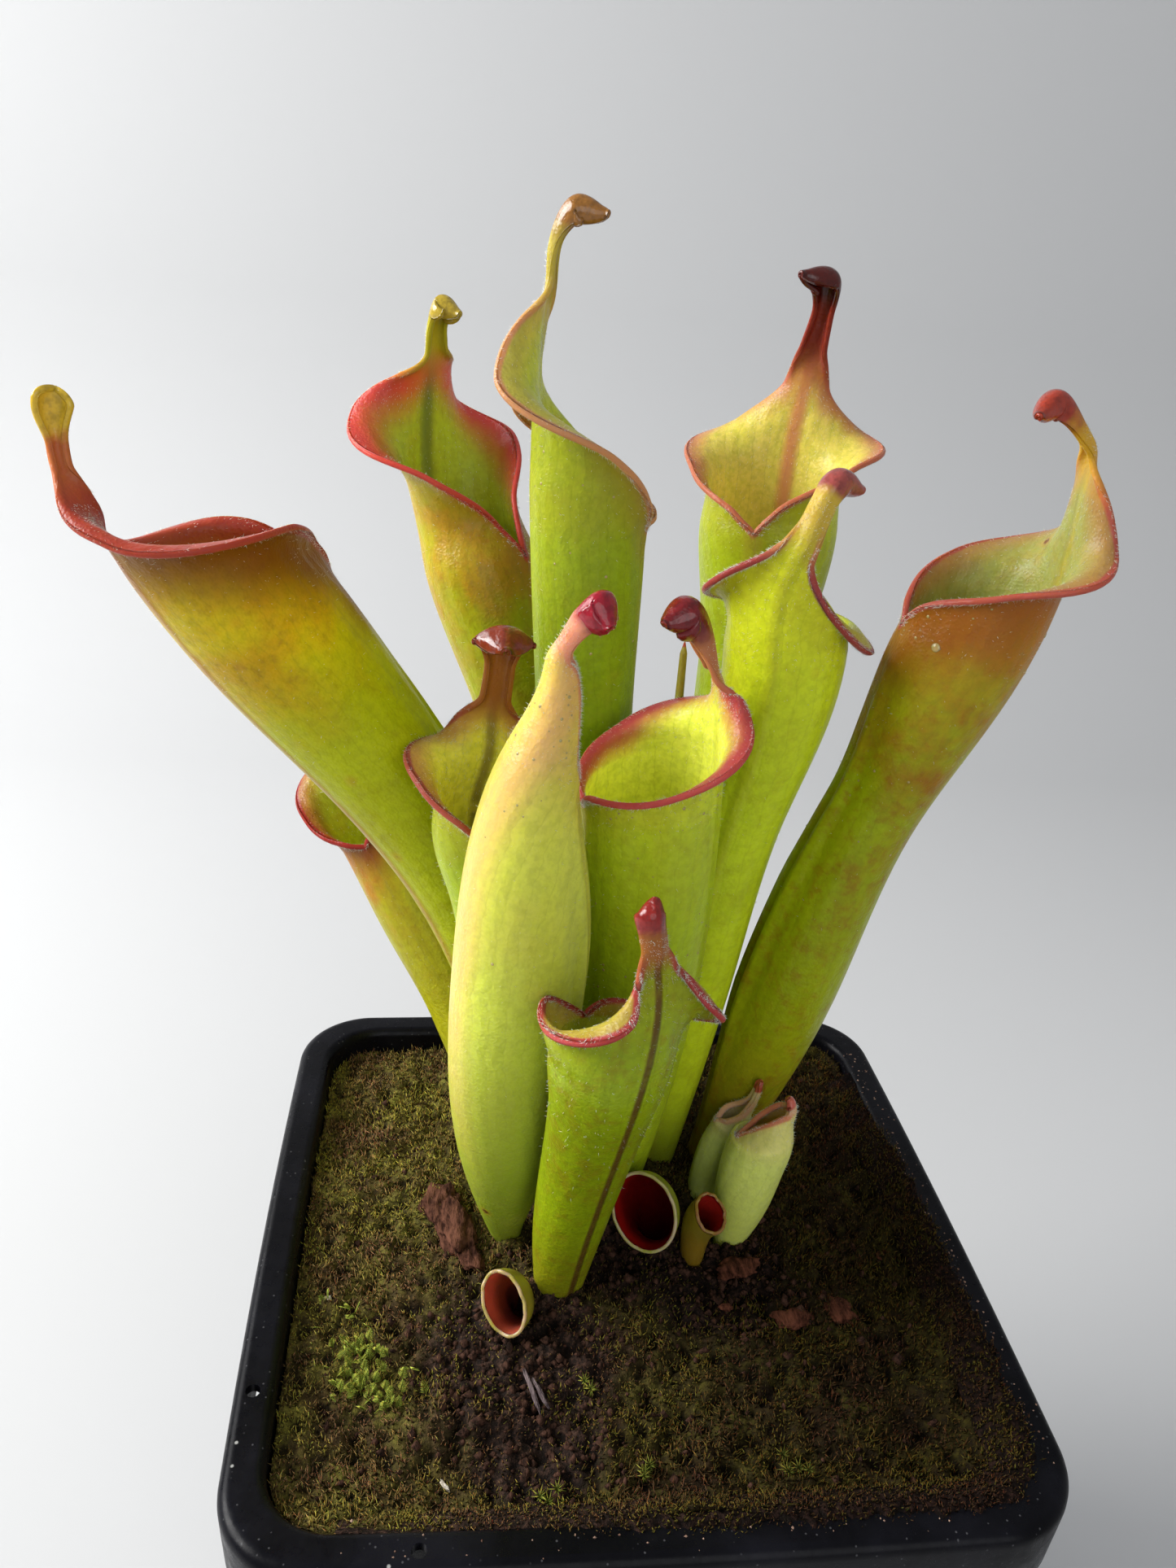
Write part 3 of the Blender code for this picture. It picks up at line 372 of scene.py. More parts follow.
JUVENILE = {
    "juvenile_tube_front": dict(
        line=((7.6, 2.6, 113), (7.4, 1.6, 121), (5.6, -2.4, 129), (3.2, -7.6, 133.2)),
        radius=(2.0, 3.4, 5.0, 5.6),
        tall=1.25,
    ),
    "juvenile_tube_dark": dict(
        line=((13.9, -4.4, 113), (14.1, -4.2, 121), (14.8, -4.8, 128), (16, -6.4, 131.4)),
        radius=(1.5, 2.0, 2.7, 3.0),
        tall=1.2,
    ),
    "juvenile_tube_left": dict(
        line=((-18.6, -12.5, 113), (-19, -13.5, 118.4), (-20.4, -16.6, 122.6), (-22.4, -20.6, 125.8)),
        radius=(1.6, 2.2, 3.1, 3.6),
        tall=1.5,
    ),
}

SPIKE = dict(
    line=((4.6, 18.2, 113), (4.8, 18.4, 150), (5, 18.6, 195), (4.8, 18.6, 233)),
    radius=(1.5, 1.4, 1.1, 0.6),
)

# Colours are linear. First the look of a plain leaf, then what each leaf has otherwise.
PLAIN_LOOK = dict(
    foot=(0.30, 0.34, 0.06), foot_reach=34.0, body=(0.33, 0.44, 0.012), top=(0.42, 0.48, 0.02),
    inside=(0.44, 0.50, 0.05), blush=(0.50, 0.14, 0.02), blush_amount=0.0, blush_from=1.2,
    lip=(0.42, 0.06, 0.05), margin=0.8, margin_reach=6.0, seam_line=0.15,
    shade=(0.20, 0.06, 0.008), under_rim=0.2, under_from=1.0, under_reach=9.0, mottle=0.15,
    veins=0.18, spots=0.25, neck=(0.45, 0.36, 0.05), spoon=(0.25, 0.012, 0.010),
    midrib=(0.34, 0.30, 0.02), midrib_amount=0.35, midrib_wide=1.6, midrib_aside=0.0,
    midrib_from=-2.0,
)

LOOKS = {
    "pitcher_left_tall": dict(
        body=(0.42, 0.46, 0.004), top=(0.62, 0.50, 0.003), blush=(0.54, 0.22, 0.004),
        blush_amount=0.45, blush_from=1.8, lip=(0.32, 0.045, 0.025), neck=(0.42, 0.13, 0.04),
        seam_line=0.9, under_rim=0.9, under_from=4.0, under_reach=17.0, margin=1.0,
        margin_reach=16.0, mottle=0.12, shade=(0.14, 0.022, 0.002), spoon=(0.60, 0.40, 0.03), spots=0.8,
        midrib=(0.30, 0.10, 0.02), midrib_amount=0.6, midrib_wide=2.5),
    "pitcher_left_low": dict(
        body=(0.38, 0.36, 0.008), top=(0.50, 0.30, 0.008), blush=(0.45, 0.09, 0.01),
        blush_amount=0.8, lip=(0.25, 0.02, 0.015), under_rim=0.9, mottle=0.2, spots=0.6),
    "pitcher_back_left": dict(
        body=(0.38, 0.42, 0.012), top=(0.42, 0.38, 0.012), blush=(0.50, 0.12, 0.02),
        blush_amount=0.45, lip=(0.50, 0.060, 0.045), margin=1.0, margin_reach=10.0,
        neck=(0.36, 0.32, 0.015), inside=(0.38, 0.46, 0.03), spoon=(0.42, 0.30, 0.03),
        midrib=(0.12, 0.17, 0.03), midrib_amount=0.75, midrib_wide=3.0),
    "pitcher_centre_tall": dict(
        # The dark foot is painted shade low in the clump.
        foot=(0.16, 0.20, 0.012), body=(0.26, 0.38, 0.008), top=(0.33, 0.36, 0.015),
        lip=(0.46, 0.22, 0.10), neck=(0.42, 0.34, 0.06), under_rim=0.5, under_reach=7.0,
        shade=(0.30, 0.20, 0.03), spoon=(0.26, 0.11, 0.02), margin=0.35),
    "pitcher_back_right": dict(
        body=(0.36, 0.46, 0.01), top=(0.42, 0.48, 0.015), inside=(0.60, 0.50, 0.10),
        lip=(0.40, 0.12, 0.06), neck=(0.18, 0.020, 0.010), spoon=(0.08, 0.006, 0.003),
        midrib=(0.46, 0.16, 0.08), midrib_amount=0.8, midrib_wide=2.6, margin_reach=5.0),
    "pitcher_mid_right": dict(
        # The dark foot is painted shade low in the clump.
        foot=(0.16, 0.20, 0.012), body=(0.56, 0.68, 0.015), top=(0.64, 0.70, 0.02),
        lip=(0.30, 0.05, 0.045), neck=(0.50, 0.36, 0.05), spoon=(0.30, 0.06, 0.05), margin=0.3,
        midrib=(0.34, 0.34, 0.02)),
    "pitcher_right_tall": dict(
        foot=(0.30, 0.19, 0.012), foot_reach=60.0, body=(0.34, 0.40, 0.004), top=(0.42, 0.20, 0.012),
        inside=(0.29, 0.31, 0.08), seam_line=0.0, blush=(0.34, 0.11, 0.008), blush_amount=0.8,
        lip=(0.36, 0.075, 0.05), neck=(0.50, 0.30, 0.025), under_rim=0.8, under_from=4.0,
        under_reach=17.0, shade=(0.26, 0.075, 0.008), spoon=(0.30, 0.032, 0.014), spots=1.0,
        margin=0.5, mottle=0.5),
    "pitcher_closed": dict(
        foot=(0.20, 0.29, 0.012), foot_reach=90.0, body=(0.62, 0.68, 0.08), top=(0.76, 0.66, 0.09),
        blush=(0.85, 0.42, 0.24), blush_amount=0.3, blush_from=2.4, lip=(0.60, 0.24, 0.12),
        neck=(0.66, 0.26, 0.16), spoon=(0.28, 0.008, 0.020), margin=0.0, mottle=0.0,
        midrib=(0.84, 0.36, 0.20), midrib_amount=0.5, midrib_wide=7.0, midrib_aside=5.5,
        midrib_from=0.7, spots=0.5),
    "pitcher_centre_open": dict(
        # The dark foot is painted shade low in the clump.
        foot=(0.18, 0.22, 0.010), body=(0.40, 0.52, 0.012), top=(0.52, 0.60, 0.03),
        inside=(0.86, 0.92, 0.10), lip=(0.42, 0.065, 0.06), neck=(0.40, 0.16, 0.07),
        spoon=(0.15, 0.008, 0.010), margin=1.0),
    "pitcher_front_small": dict(
        foot=(0.26, 0.25, 0.008), body=(0.24, 0.32, 0.004), top=(0.27, 0.36, 0.008), mottle=0.35,
        inside=(0.44, 0.46, 0.06), lip=(0.32, 0.04, 0.04), neck=(0.30, 0.11, 0.025),
        spoon=(0.24, 0.015, 0.012), midrib=(0.085, 0.036, 0.008), midrib_amount=0.9,
        midrib_wide=0.85, margin=0.4, spots=0.8),
    "pitcher_mid_left": dict(
        body=(0.36, 0.46, 0.015), top=(0.42, 0.46, 0.02), inside=(0.86, 0.80, 0.08),
        lip=(0.34, 0.07, 0.05), neck=(0.30, 0.11, 0.02), spoon=(0.20, 0.03, 0.012),
        midrib=(0.20, 0.16, 0.03), midrib_amount=0.8, margin=0.7),
    "young_pitcher_right": dict(
        foot=(0.56, 0.62, 0.12), body=(0.78, 0.88, 0.20), top=(0.86, 0.80, 0.26), mottle=0.0,
        inside=(0.66, 0.50, 0.20), lip=(0.52, 0.18, 0.09), neck=(0.60, 0.34, 0.18),
        spoon=(0.50, 0.10, 0.06), margin=0.2),
    "young_pitcher_small": dict(
        foot=(0.48, 0.56, 0.12), body=(0.72, 0.80, 0.22), top=(0.84, 0.80, 0.36), mottle=0.0,
        inside=(0.66, 0.56, 0.26), lip=(0.64, 0.36, 0.22), neck=(0.60, 0.46, 0.24),
        spoon=(0.42, 0.08, 0.04), margin=0.2),
    "juvenile_tube_front": dict(
        foot=(0.24, 0.26, 0.01), body=(0.28, 0.34, 0.01), top=(0.30, 0.34, 0.03),
        inside=(0.36, 0.008, 0.005), lip=(0.42, 0.32, 0.20)),
    "juvenile_tube_dark": dict(
        foot=(0.20, 0.12, 0.01), body=(0.26, 0.17, 0.015), top=(0.26, 0.20, 0.02),
        inside=(0.30, 0.012, 0.008), lip=(0.24, 0.10, 0.03)),
    "juvenile_tube_left": dict(
        foot=(0.24, 0.16, 0.02), body=(0.24, 0.25, 0.015), top=(0.30, 0.30, 0.03),
        inside=(0.42, 0.085, 0.045), lip=(0.40, 0.28, 0.17)),
    "young_leaf_spike": dict(body=(0.30, 0.42, 0.03), top=(0.40, 0.44, 0.06), margin=0.0),
}

# Stage
STAGE_HALF = 1500
FLOOR_FRONT = -900
FLOOR_BACK = 500
FLOOR_ROUND = 250
BACKDROP_TOP = 1500

# Camera: where it stands and how it points, in degrees, and the photograph's height in pixels.
PHOTO_HEIGHT = 1927
FOCAL_PIXELS = 1472.3
CAMERA_AT = (-34.24, -171.48, 292.31)
CAMERA_HEADING = 82.63
CAMERA_PITCH = -24.13
CAMERA_ROLL = 4.4
SENSOR = 36.0


def natural_spline(knots, values, at):
    """The smooth curve through the values, with no bend at its ends."""
    knots = np.asarray(knots, float)
    values = np.asarray(values, float)
    count = len(knots)
    step = np.diff(knots)
    matrix = np.eye(count)
    right = np.zeros_like(values)
    for i in range(1, count - 1):
        matrix[i, i - 1:i + 2] = step[i - 1], 2 * (step[i - 1] + step[i]), step[i]
        right[i] = 6 * ((values[i + 1] - values[i]) / step[i] - (values[i] - values[i - 1]) / step[i - 1])
    bend = np.linalg.solve(matrix, right)
    at = np.asarray(at, float)
    k = np.clip(np.searchsorted(knots, at) - 1, 0, count - 2)
    ahead = (knots[k + 1] - at)[:, None]
    behind = (at - knots[k])[:, None]
    span = step[k][:, None]
    cubic = (bend[k] * ahead ** 3 + bend[k + 1] * behind ** 3) / (6 * span)
    near = (values[k] / span - bend[k] * span / 6) * ahead
    far = (values[k + 1] / span - bend[k + 1] * span / 6) * behind
    return cubic + near + far


def eased(knots, values, at):
    """The smooth curve through the values that never overshoots them."""
    knots = np.asarray(knots, float)
    values = np.asarray(values, float)
    step = np.diff(knots)
    rise = np.diff(values) / step
    slope = np.zeros(len(knots))
    slope[0], slope[-1] = rise[0], rise[-1]
    for i in range(1, len(knots) - 1):
        if rise[i - 1] * rise[i] > 0:
            before = 2 * step[i] + step[i - 1]
            after = step[i] + 2 * step[i - 1]
            slope[i] = (before + after) / (before / rise[i - 1] + after / rise[i])
    at = np.clip(np.asarray(at, float), knots[0], knots[-1])
    k = np.clip(np.searchsorted(knots, at) - 1, 0, len(knots) - 2)
    t = (at - knots[k]) / step[k]
    start = (1 + 2 * t) * (1 - t) ** 2 * values[k] + t * (1 - t) ** 2 * step[k] * slope[k]
    end = t * t * (3 - 2 * t) * values[k + 1] + t * t * (t - 1) * step[k] * slope[k + 1]
    return start + end


def unit(vectors):
    return vectors / np.maximum(np.linalg.norm(vectors, axis=-1, keepdims=True), 1e-12)


def carried(direction, tangents, points):
    """The direction carried along a line without turning about it, by reflecting it twice a step."""
    first = unit(direction - (direction @ tangents[0]) * tangents[0])
    out = [first]
    for i in range(len(points) - 1):
        chord = points[i + 1] - points[i]
        length = chord @ chord
        side = out[-1] - 2 / length * (chord @ out[-1]) * chord
        tangent = tangents[i] - 2 / length * (chord @ tangents[i]) * chord
        change = tangents[i + 1] - tangent
        size = change @ change
        if size > 1e-12:
            side = side - 2 / size * (change @ side) * change
        out.append(unit(side - (side @ tangents[i + 1]) * tangents[i + 1]))
    return np.array(out)


def lengths_along(points):
    return np.concatenate([[0.0], np.cumsum(np.linalg.norm(np.diff(points, axis=0), axis=1))])


def read_off(at, places, points):
    """The points of a line, which stand at the given places, read off between them."""
    return np.column_stack([np.interp(at, places, column) for column in points.T])


def keel_of(leaf, front):
    """The keel's points at the stations that the table gives: the tube's back, then the crest."""
    axis = np.array(leaf["axis"], float)
    tangents = unit(np.gradient(axis, axis=0))
    back = []
    for middle, tangent, radius in zip(axis, tangents, leaf["radius"]):
        ahead = unit(front - (front @ tangent) * tangent)
        back.append(middle - ahead * radius)
    return np.concatenate([np.array(back), np.array(leaf["crest"], float)])


def frames_along(given, keel, front, at, twist, knots):
    """At each row the keel's point, its tangent, the front direction and the one to the side."""
    fine = np.linspace(0.0, given[-1], KEEL_STEPS)
    line = natural_spline(given, keel, fine)
    tangents = unit(np.gradient(line, axis=0))
    fronts = carried(front, tangents, line)
    point = natural_spline(given, keel, at)
    tangent = unit(read_off(at, fine, tangents))
    ahead = read_off(at, fine, fronts)
    ahead = unit(ahead - (ahead * tangent).sum(axis=1, keepdims=True) * tangent)
    across = np.cross(tangent, ahead)
    angle = np.radians(eased(knots, twist, at))[:, None]
    turned = ahead * np.cos(angle) + across * np.sin(angle)
    return point, tangent, turned, across * np.cos(angle) - ahead * np.sin(angle)


def half_section(turn, curl, length):
    """One half of a row, from the keel outwards: how far across and ahead, and its heading."""
    steps = np.linspace(0.0, 1.0, SECTION_STEPS + 1)
    outer = np.clip((steps - CURL_STARTS) / (1 - CURL_STARTS), 0, 1)
    heading = turn * steps - curl * outer
    across = np.concatenate([[0.0], np.cumsum((np.cos(heading[1:]) + np.cos(heading[:-1])) / 2)])
    ahead = np.concatenate([[0.0], np.cumsum((np.sin(heading[1:]) + np.sin(heading[:-1])) / 2)])
    return steps, across * length / SECTION_STEPS, ahead * length / SECTION_STEPS, heading


def sided(leaf, key, default, tube, knots, at):
    """The table's value at each row, left and right of the keel, after the tube's values or zeros."""
    sides = []
    for hand in ("_left", "_right"):
        values = leaf.get(key + hand, leaf.get(key, default))
        before = tube or [0] * (len(knots) - len(values))
        sides.append(eased(knots, [*before, *values], at))
    return sides


def stations_of(leaf, given):
    """Where the stations lie along the keel: those the tables give, with brim and side before the lobe."""
    throat, lobe = given[THROAT], given[TUBE_STATIONS]
    brim = throat + leaf.get("brim", BRIM_SHARE) * (lobe - throat)
    side = throat + leaf.get("side", SIDE_SHARE) * (lobe - throat)
    return np.concatenate([given[:TUBE_STATIONS], [brim, side], given[TUBE_STATIONS:]])


def row_places(knots, rows):
    """Where the rows lie along the keel."""
    at = [0.0]
    for i, share in enumerate(ROW_SHARES):
        parts = max(1, round(rows * share / sum(ROW_SHARES)))
        at += list(np.linspace(knots[i], knots[i + 1], parts + 1)[1:])
    return np.array(at)


def row_shapes(leaf, knots, at):
    """Each row's length from keel to edge, turn, curl, roll and drop, left and right of the keel."""
    scale = leaf["radius"][-1]
    tube = [math.pi * radius / scale for radius in leaf["radius"]]
    widths = sided(leaf, "half_width", HALF_WIDTH, tube, knots, at)
    cap = np.clip((at - knots[-2]) / (knots[-1] - knots[-2]), 0, 1)
    for hand, width in enumerate(widths):
        widest = np.interp(knots[-2], at, width)
        rounded = widest * np.sqrt(np.maximum(1 - cap ** 2, 0.02))
        widths[hand] = np.where(cap > 0, rounded, width) * scale
    turns = np.radians(sided(leaf, "turn", TURN, [180] * TUBE_STATIONS, knots, at))
    curls = np.radians(sided(leaf, "curl", CURL, (), knots, at))
    rolls = sided(leaf, "roll", ROLL, (), knots, at)
    drops = np.array(sided(leaf, "drop", DROP, (), knots, at)) * scale
    return widths, turns, curls, rolls, drops


def pitcher_sheet(leaf, rows, around):
    """A pitcher's sheet: its points row by row, how many rows the tube closes, and the points' facts."""
    azimuth = math.radians(leaf["front"])
    front = np.array([math.cos(azimuth), math.sin(azimuth), 0.0])
    keel = keel_of(leaf, front)
    given = lengths_along(keel)
    knots = stations_of(leaf, given)
    at = row_places(knots, rows)
    closed = int(np.argmin(abs(at - knots[THROAT]))) + 1
    twist = [0] * TUBE_STATIONS + list(leaf.get("twist", STRAIGHT))
    point, tangent, ahead, across = frames_along(given, keel, front, at, twist, knots)
    widths, turns, curls, rolls, drops = row_shapes(leaf, knots, at)

    even = np.linspace(-1.0, 1.0, around + 1)
    u = 0.6 * even + 0.4 * np.sin(even * math.pi / 2)
    out = abs(u)
    hand = np.sign(u)
    lip = np.clip((out - ROLL_STARTS) / (1 - ROLL_STARTS), 0, 1) ** 2
    hang = np.clip((out - DROP_STARTS) / (1 - DROP_STARTS), 0, 1) ** 2
    grid = np.zeros((len(at), around + 1, 3))
    for i in range(len(at)):
        for side, mine in enumerate((u < 0, u >= 0)):
            steps, x, y, heading = half_section(turns[side][i], curls[side][i], widths[side][i])
            roll = rolls[side][i] * lip[mine]
            angle = np.interp(out[mine], steps, heading)
            x = (np.interp(out[mine], steps, x) + np.sin(angle) * roll) * hand[mine]
            y = np.interp(out[mine], steps, y) - np.cos(angle) * roll
            down = hang[mine] * drops[side][i] + LIP_SINKS * roll
            grid[i, mine] = (point[i] + across[i] * x[:, None] + ahead[i] * y[:, None]
                             - tangent[i] * down[:, None])
    seam = (grid[:closed, 0] + grid[:closed, -1]) / 2
    grid[:closed, 0] = seam
    grid[:closed, -1] = seam

    station = np.interp(at, knots, np.arange(len(knots)))
    half_row = np.where(u < 0, widths[0][:, None], widths[1][:, None])
    from_seam = (1 - out) * half_row
    rise = np.interp(station, WING_STATIONS, WING_HEIGHTS)[:, None] * leaf.get("wing", 0.0)
    fold = rise * np.exp(-((from_seam - WING_APART) / WING_THICK) ** 2)
    grid = grid + normals_of(grid, closed) * fold[:, :, None]
    facts = facts_of(grid, station, at, u * half_row, edge_distances(grid, closed))
    facts["seam"] = from_seam
    return grid, closed, facts


def edge_path(grid, closed):
    """Row and column of each point of the sheet's free edge: up its left, over the top, and down."""
    rows, columns = grid.shape[:2]
    if closed == rows:
        return [(rows - 1, j) for j in range(columns)]
    up = [(i, 0) for i in range(closed - 1, rows)]
    over = [(rows - 1, j) for j in range(1, columns)]
    down = [(i, columns - 1) for i in range(rows - 2, closed - 2, -1)]
    return up + over + down


def edge_distances(grid, closed):
    """How far each point lies from the sheet's free edge."""
    path = np.array([grid[i, j] for i, j in edge_path(grid, closed)])
    places = np.linspace(0, len(path) - 1, EDGE_FINENESS * (len(path) - 1) + 1)
    line = read_off(places, np.arange(len(path)), path)
    return np.array([np.linalg.norm(row[:, None] - line, axis=2).min(axis=1) for row in grid])


def edge_directions(grid, closed, path):
    """The direction out of the sheet at each point of its free edge."""
    rows, columns = grid.shape[:2]
    directions = []
    for i, j in path:
        up = unit(grid[i, j] - grid[i - 1, j])
        aside = unit(grid[i, j] - grid[i, 1 if j == 0 else columns - 2])
        if closed == i + 1 < rows:
            away = unit(grid[closed, 0] - grid[closed - 1, 0])
        elif i < rows - 1:
            away = aside
        elif closed < rows and j in (0, columns - 1):
            away = unit(up + aside)
        else:
            away = up
        directions.append(away)
    return directions


def facts_of(grid, station, along, sideways, edge):
    """What a leaf's look reads at each point, in millimetres but for the station."""
    return dict(
        station=np.broadcast_to(station[:, None], grid.shape[:2]),
        edge=np.broadcast_to(edge, grid.shape[:2]),
        sideways=sideways,
        along=np.broadcast_to(along[:, None], grid.shape[:2]),
    )


def tube_sheet(leaf, rows, around):
    """A bent tube as a sheet; every row is closed and the last is the mouth."""
    line = np.array(leaf["line"], float)
    given = lengths_along(line)
    at = np.linspace(0.0, given[-1], rows)
    points = natural_spline(given, line, at)
    tangents = unit(np.gradient(points, axis=0))
    ahead = carried(np.array([1.0, 0.2, 0.0]), tangents, points)
    across = np.cross(tangents, ahead)
    radius = eased(given, leaf["radius"], at)
    turn = np.linspace(0.0, -2 * math.pi, around + 1)
    ring = np.cos(turn)[None, :, None] * ahead[:, None]
    ring = ring + leaf.get("tall", 1.0) * np.sin(turn)[None, :, None] * across[:, None]
    grid = points[:, None] + ring * radius[:, None, None]
    to_mouth = at[-1] - at
    seed = leaf["radius"][0]
    torn = [noise.noise((4 * math.cos(v), 4 * math.sin(v), seed)) for v in turn]
    uneven = RIM_RAGGED * np.array(torn)[None, :] * np.clip(1 - to_mouth / 3, 0, 1)[:, None] ** 2
    grid = grid + tangents[:, None] * uneven[:, :, None]
    station = (THROAT + 0.6) * at / at[-1]
    return grid, rows, facts_of(grid, station, at, radius[:, None] * turn, to_mouth[:, None])


def normals_of(grid, closed):
    """The sheet's outward direction at each point."""
    upward = np.gradient(grid, axis=0)
    sideways = np.gradient(grid, axis=1)
    wrapped = grid[:closed, 1] - grid[:closed, -2]
    sideways[:closed, 0] = wrapped
    sideways[:closed, -1] = wrapped
    return unit(np.cross(upward, sideways))


def shell(name, grid, closed, facts, lip_thick):
    """A mesh with thickness over a sheet, round at its edges, that carries the sheet's facts."""
    rows, columns = grid.shape[:2]
    out = normals_of(grid, closed)
    swell = np.exp(-(facts["edge"] / LIP_REACH) ** 2) * (facts["station"] > THROAT - 0.1)
    half = ((SHEET_THICK + (lip_thick - SHEET_THICK) * swell) / 2)[..., None]
    layers = (grid + out * half, grid - out * half)

    points, faces, inside = [], [], []
    kept = {key: [] for key in facts}

    def add(place, row, column, side):
        points.append(place)
        for key in kept:
            kept[key].append(facts[key][row, column])
        inside.append(side)
        return len(points) - 1

    index = []
    for side, layer in enumerate(layers):
        ids = np.empty((rows, columns), int)
        for i in range(rows):
            for j in range(columns):
                if i < closed and j == columns - 1:
                    ids[i, j] = ids[i, 0]
                else:
                    ids[i, j] = add(layer[i, j], i, j, float(side))
        faces += [quad if side else quad[::-1] for quad in grid_faces(ids)]
        index.append(ids)

    path = edge_path(grid, closed)
    outward = edge_directions(grid, closed, path)
    strips = [[index[0][i, j] for i, j in path]]
    for swing, bend in LIP_ARC:
        lift = -math.sin(math.radians(swing))
        line = []
        for (i, j), away in zip(path, outward):
            place = grid[i, j] + (out[i, j] * lift + away * bend) * half[i, j, 0]
            line.append(add(place, i, j, 0.5))
        strips.append(line)
    strips.append([index[1][i, j] for i, j in path])
    faces += grid_faces(strips)

    for side, ids in enumerate(index):
        middle = add(layers[side][0, :-1].mean(axis=0), 0, 0, float(side))
        for j in range(columns - 1):
            triangle = [middle, ids[0, j], ids[0, j + 1]]
            faces.append(triangle if side else triangle[::-1])

    mesh = mesh_from(name, np.array(points), faces)
    for key, values in kept.items():
        set_fact(mesh, key, values)
    set_fact(mesh, "inside", inside)
    return mesh


def grid_faces(ids):
    """The quads of a grid of point numbers."""
    ids = np.asarray(ids)
    corners = (ids[:-1, :-1], ids[:-1, 1:], ids[1:, 1:], ids[1:, :-1])
    return np.stack(corners, axis=-1).reshape(-1, 4).tolist()


def ring_ids(rings, sides, first=0):
    """Point numbers of rings given one after another, each ended with its own first point."""
    ids = first + np.arange(rings * sides).reshape(rings, sides)
    return np.column_stack([ids, ids[:, 0]])


def tube_faces(rings, sides):
    """Faces round a tube of points that are given ring by ring, with a flat cap at each end."""
    ids = ring_ids(rings, sides)
    return [*grid_faces(ids), ids[0, :-1][::-1].tolist(), ids[-1, :-1].tolist()]


def mesh_from(name, points, faces):
    mesh = bpy.data.meshes.new(name)
    mesh.from_pydata((np.asarray(points) * MM).tolist(), [], [list(map(int, f)) for f in faces])
    mesh.validate()
    mesh.shade_smooth()
    return mesh


def set_fact(mesh, name, values):
    made = mesh.attributes.new(name, "FLOAT", "POINT")
    made.data.foreach_set("value", np.asarray(values, np.float32))


def add_piece(name, mesh, material, replaces=None):
    thing = bpy.data.objects.new(name, mesh)
    bpy.context.scene.collection.objects.link(thing)
    mesh.materials.append(material)
    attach(thing, "root")
    if replaces:
        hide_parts(replaces)


class Shader:
    """A material's node tree, with short ways to add nodes. A value may be a socket or a number."""

    def __init__(self, name):
        self.material = bpy.data.materials.new(name)
        self.material.use_nodes = True
        self.tree = self.material.node_tree
        self.surface = self.tree.nodes["Principled BSDF"]

    def node(self, kind, **settings):
        made = self.tree.nodes.new(kind)
        for key, value in settings.items():
            setattr(made, key, value)
        return made

    def put(self, value, socket):
        if isinstance(value, bpy.types.NodeSocket):
            self.tree.links.new(value, socket)
        elif isinstance(value, tuple):
            size = len(socket.default_value)
            socket.default_value = (*value, 1.0) if size == 4 else value
        else:
            socket.default_value = value

    def set(self, **values):
        for key, value in values.items():
            self.put(value, self.surface.inputs[key.replace("_", " ")])

    def fact(self, name):
        return self.node("ShaderNodeAttribute", attribute_name=name).outputs["Fac"]

    def place(self):
        return self.node("ShaderNodeTexCoord").outputs["Object"]

    def math(self, operation, a, b=0.0):
        made = self.node("ShaderNodeMath", operation=operation)
        self.put(a, made.inputs[0])
        self.put(b, made.inputs[1])
        return made.outputs[0]

    def plus(self, a, b):
        return self.math("ADD", a, b)

    def times(self, a, b):
        return self.math("MULTIPLY", a, b)

    def smooth(self, value, low, high, start=0.0, end=1.0):
        """From start to end as the value goes from low to high."""
        made = self.node("ShaderNodeMapRange", interpolation_type="SMOOTHSTEP")
        self.put(value, made.inputs["Value"])
        for key, number in (("From Min", low), ("From Max", high), ("To Min", start), ("To Max", end)):
            self.put(number, made.inputs[key])
        return made.outputs["Result"]

    def fade(self, value, low, high, start=1.0):
        """From start down to nothing as the value goes from low to high."""
        return self.smooth(value, low, high, start, 0.0)

    def mix(self, factor, a, b, blend="MIX"):
        made = self.node("ShaderNodeMix", data_type="RGBA", blend_type=blend)
        self.put(factor, made.inputs[0])
        self.put(a, made.inputs[6])
        self.put(b, made.inputs[7])
        return made.outputs[2]

    def painted_shading(self, colour):
        """Painted shade that darkens the ground towards the pot's right, and painted light that makes it
        paler at the back left.
        """
        split = self.node("ShaderNodeSeparateXYZ")
        self.put(self.place(), split.inputs[0])
        x, y = split.outputs[0], split.outputs[1]
        lit_side = self.smooth(self.math("SUBTRACT", self.times(y, 0.35), x), -0.045, 0.065)
        return self.mix(1.0, colour, self.mix(lit_side, SHADED_TINT, LIT_TINT), "MULTIPLY")

    def noise(self, where, scale, detail=2.0, rough=0.5):
        made = self.node("ShaderNodeTexNoise")
        self.put(where, made.inputs["Vector"])
        made.inputs["Scale"].default_value = scale
        made.inputs["Detail"].default_value = detail
        made.inputs["Roughness"].default_value = rough
        return made.outputs["Fac"]

    def stretched(self, where, by):
        made = self.node("ShaderNodeVectorMath", operation="MULTIPLY")
        self.put(where, made.inputs[0])
        self.put(by, made.inputs[1])
        return made.outputs[0]

    def cells(self, where, scale):
        """How near the closest of many scattered points is, and a random number for that point."""
        made = self.node("ShaderNodeTexVoronoi")
        self.put(where, made.inputs["Vector"])
        made.inputs["Scale"].default_value = scale
        split = self.node("ShaderNodeSeparateColor")
        self.put(made.outputs["Color"], split.inputs[0])
        return made.outputs["Distance"], split.outputs[0]

    def bump(self, height, distance, strength=1.0, under=None):
        made = self.node("ShaderNodeBump")
        self.put(height, made.inputs["Height"])
        made.inputs["Distance"].default_value = distance
        made.inputs["Strength"].default_value = strength
        if under is not None:
            self.put(under, made.inputs["Normal"])
        return made.outputs["Normal"]


def darker(colour, share):
    return tuple(share * v for v in colour)


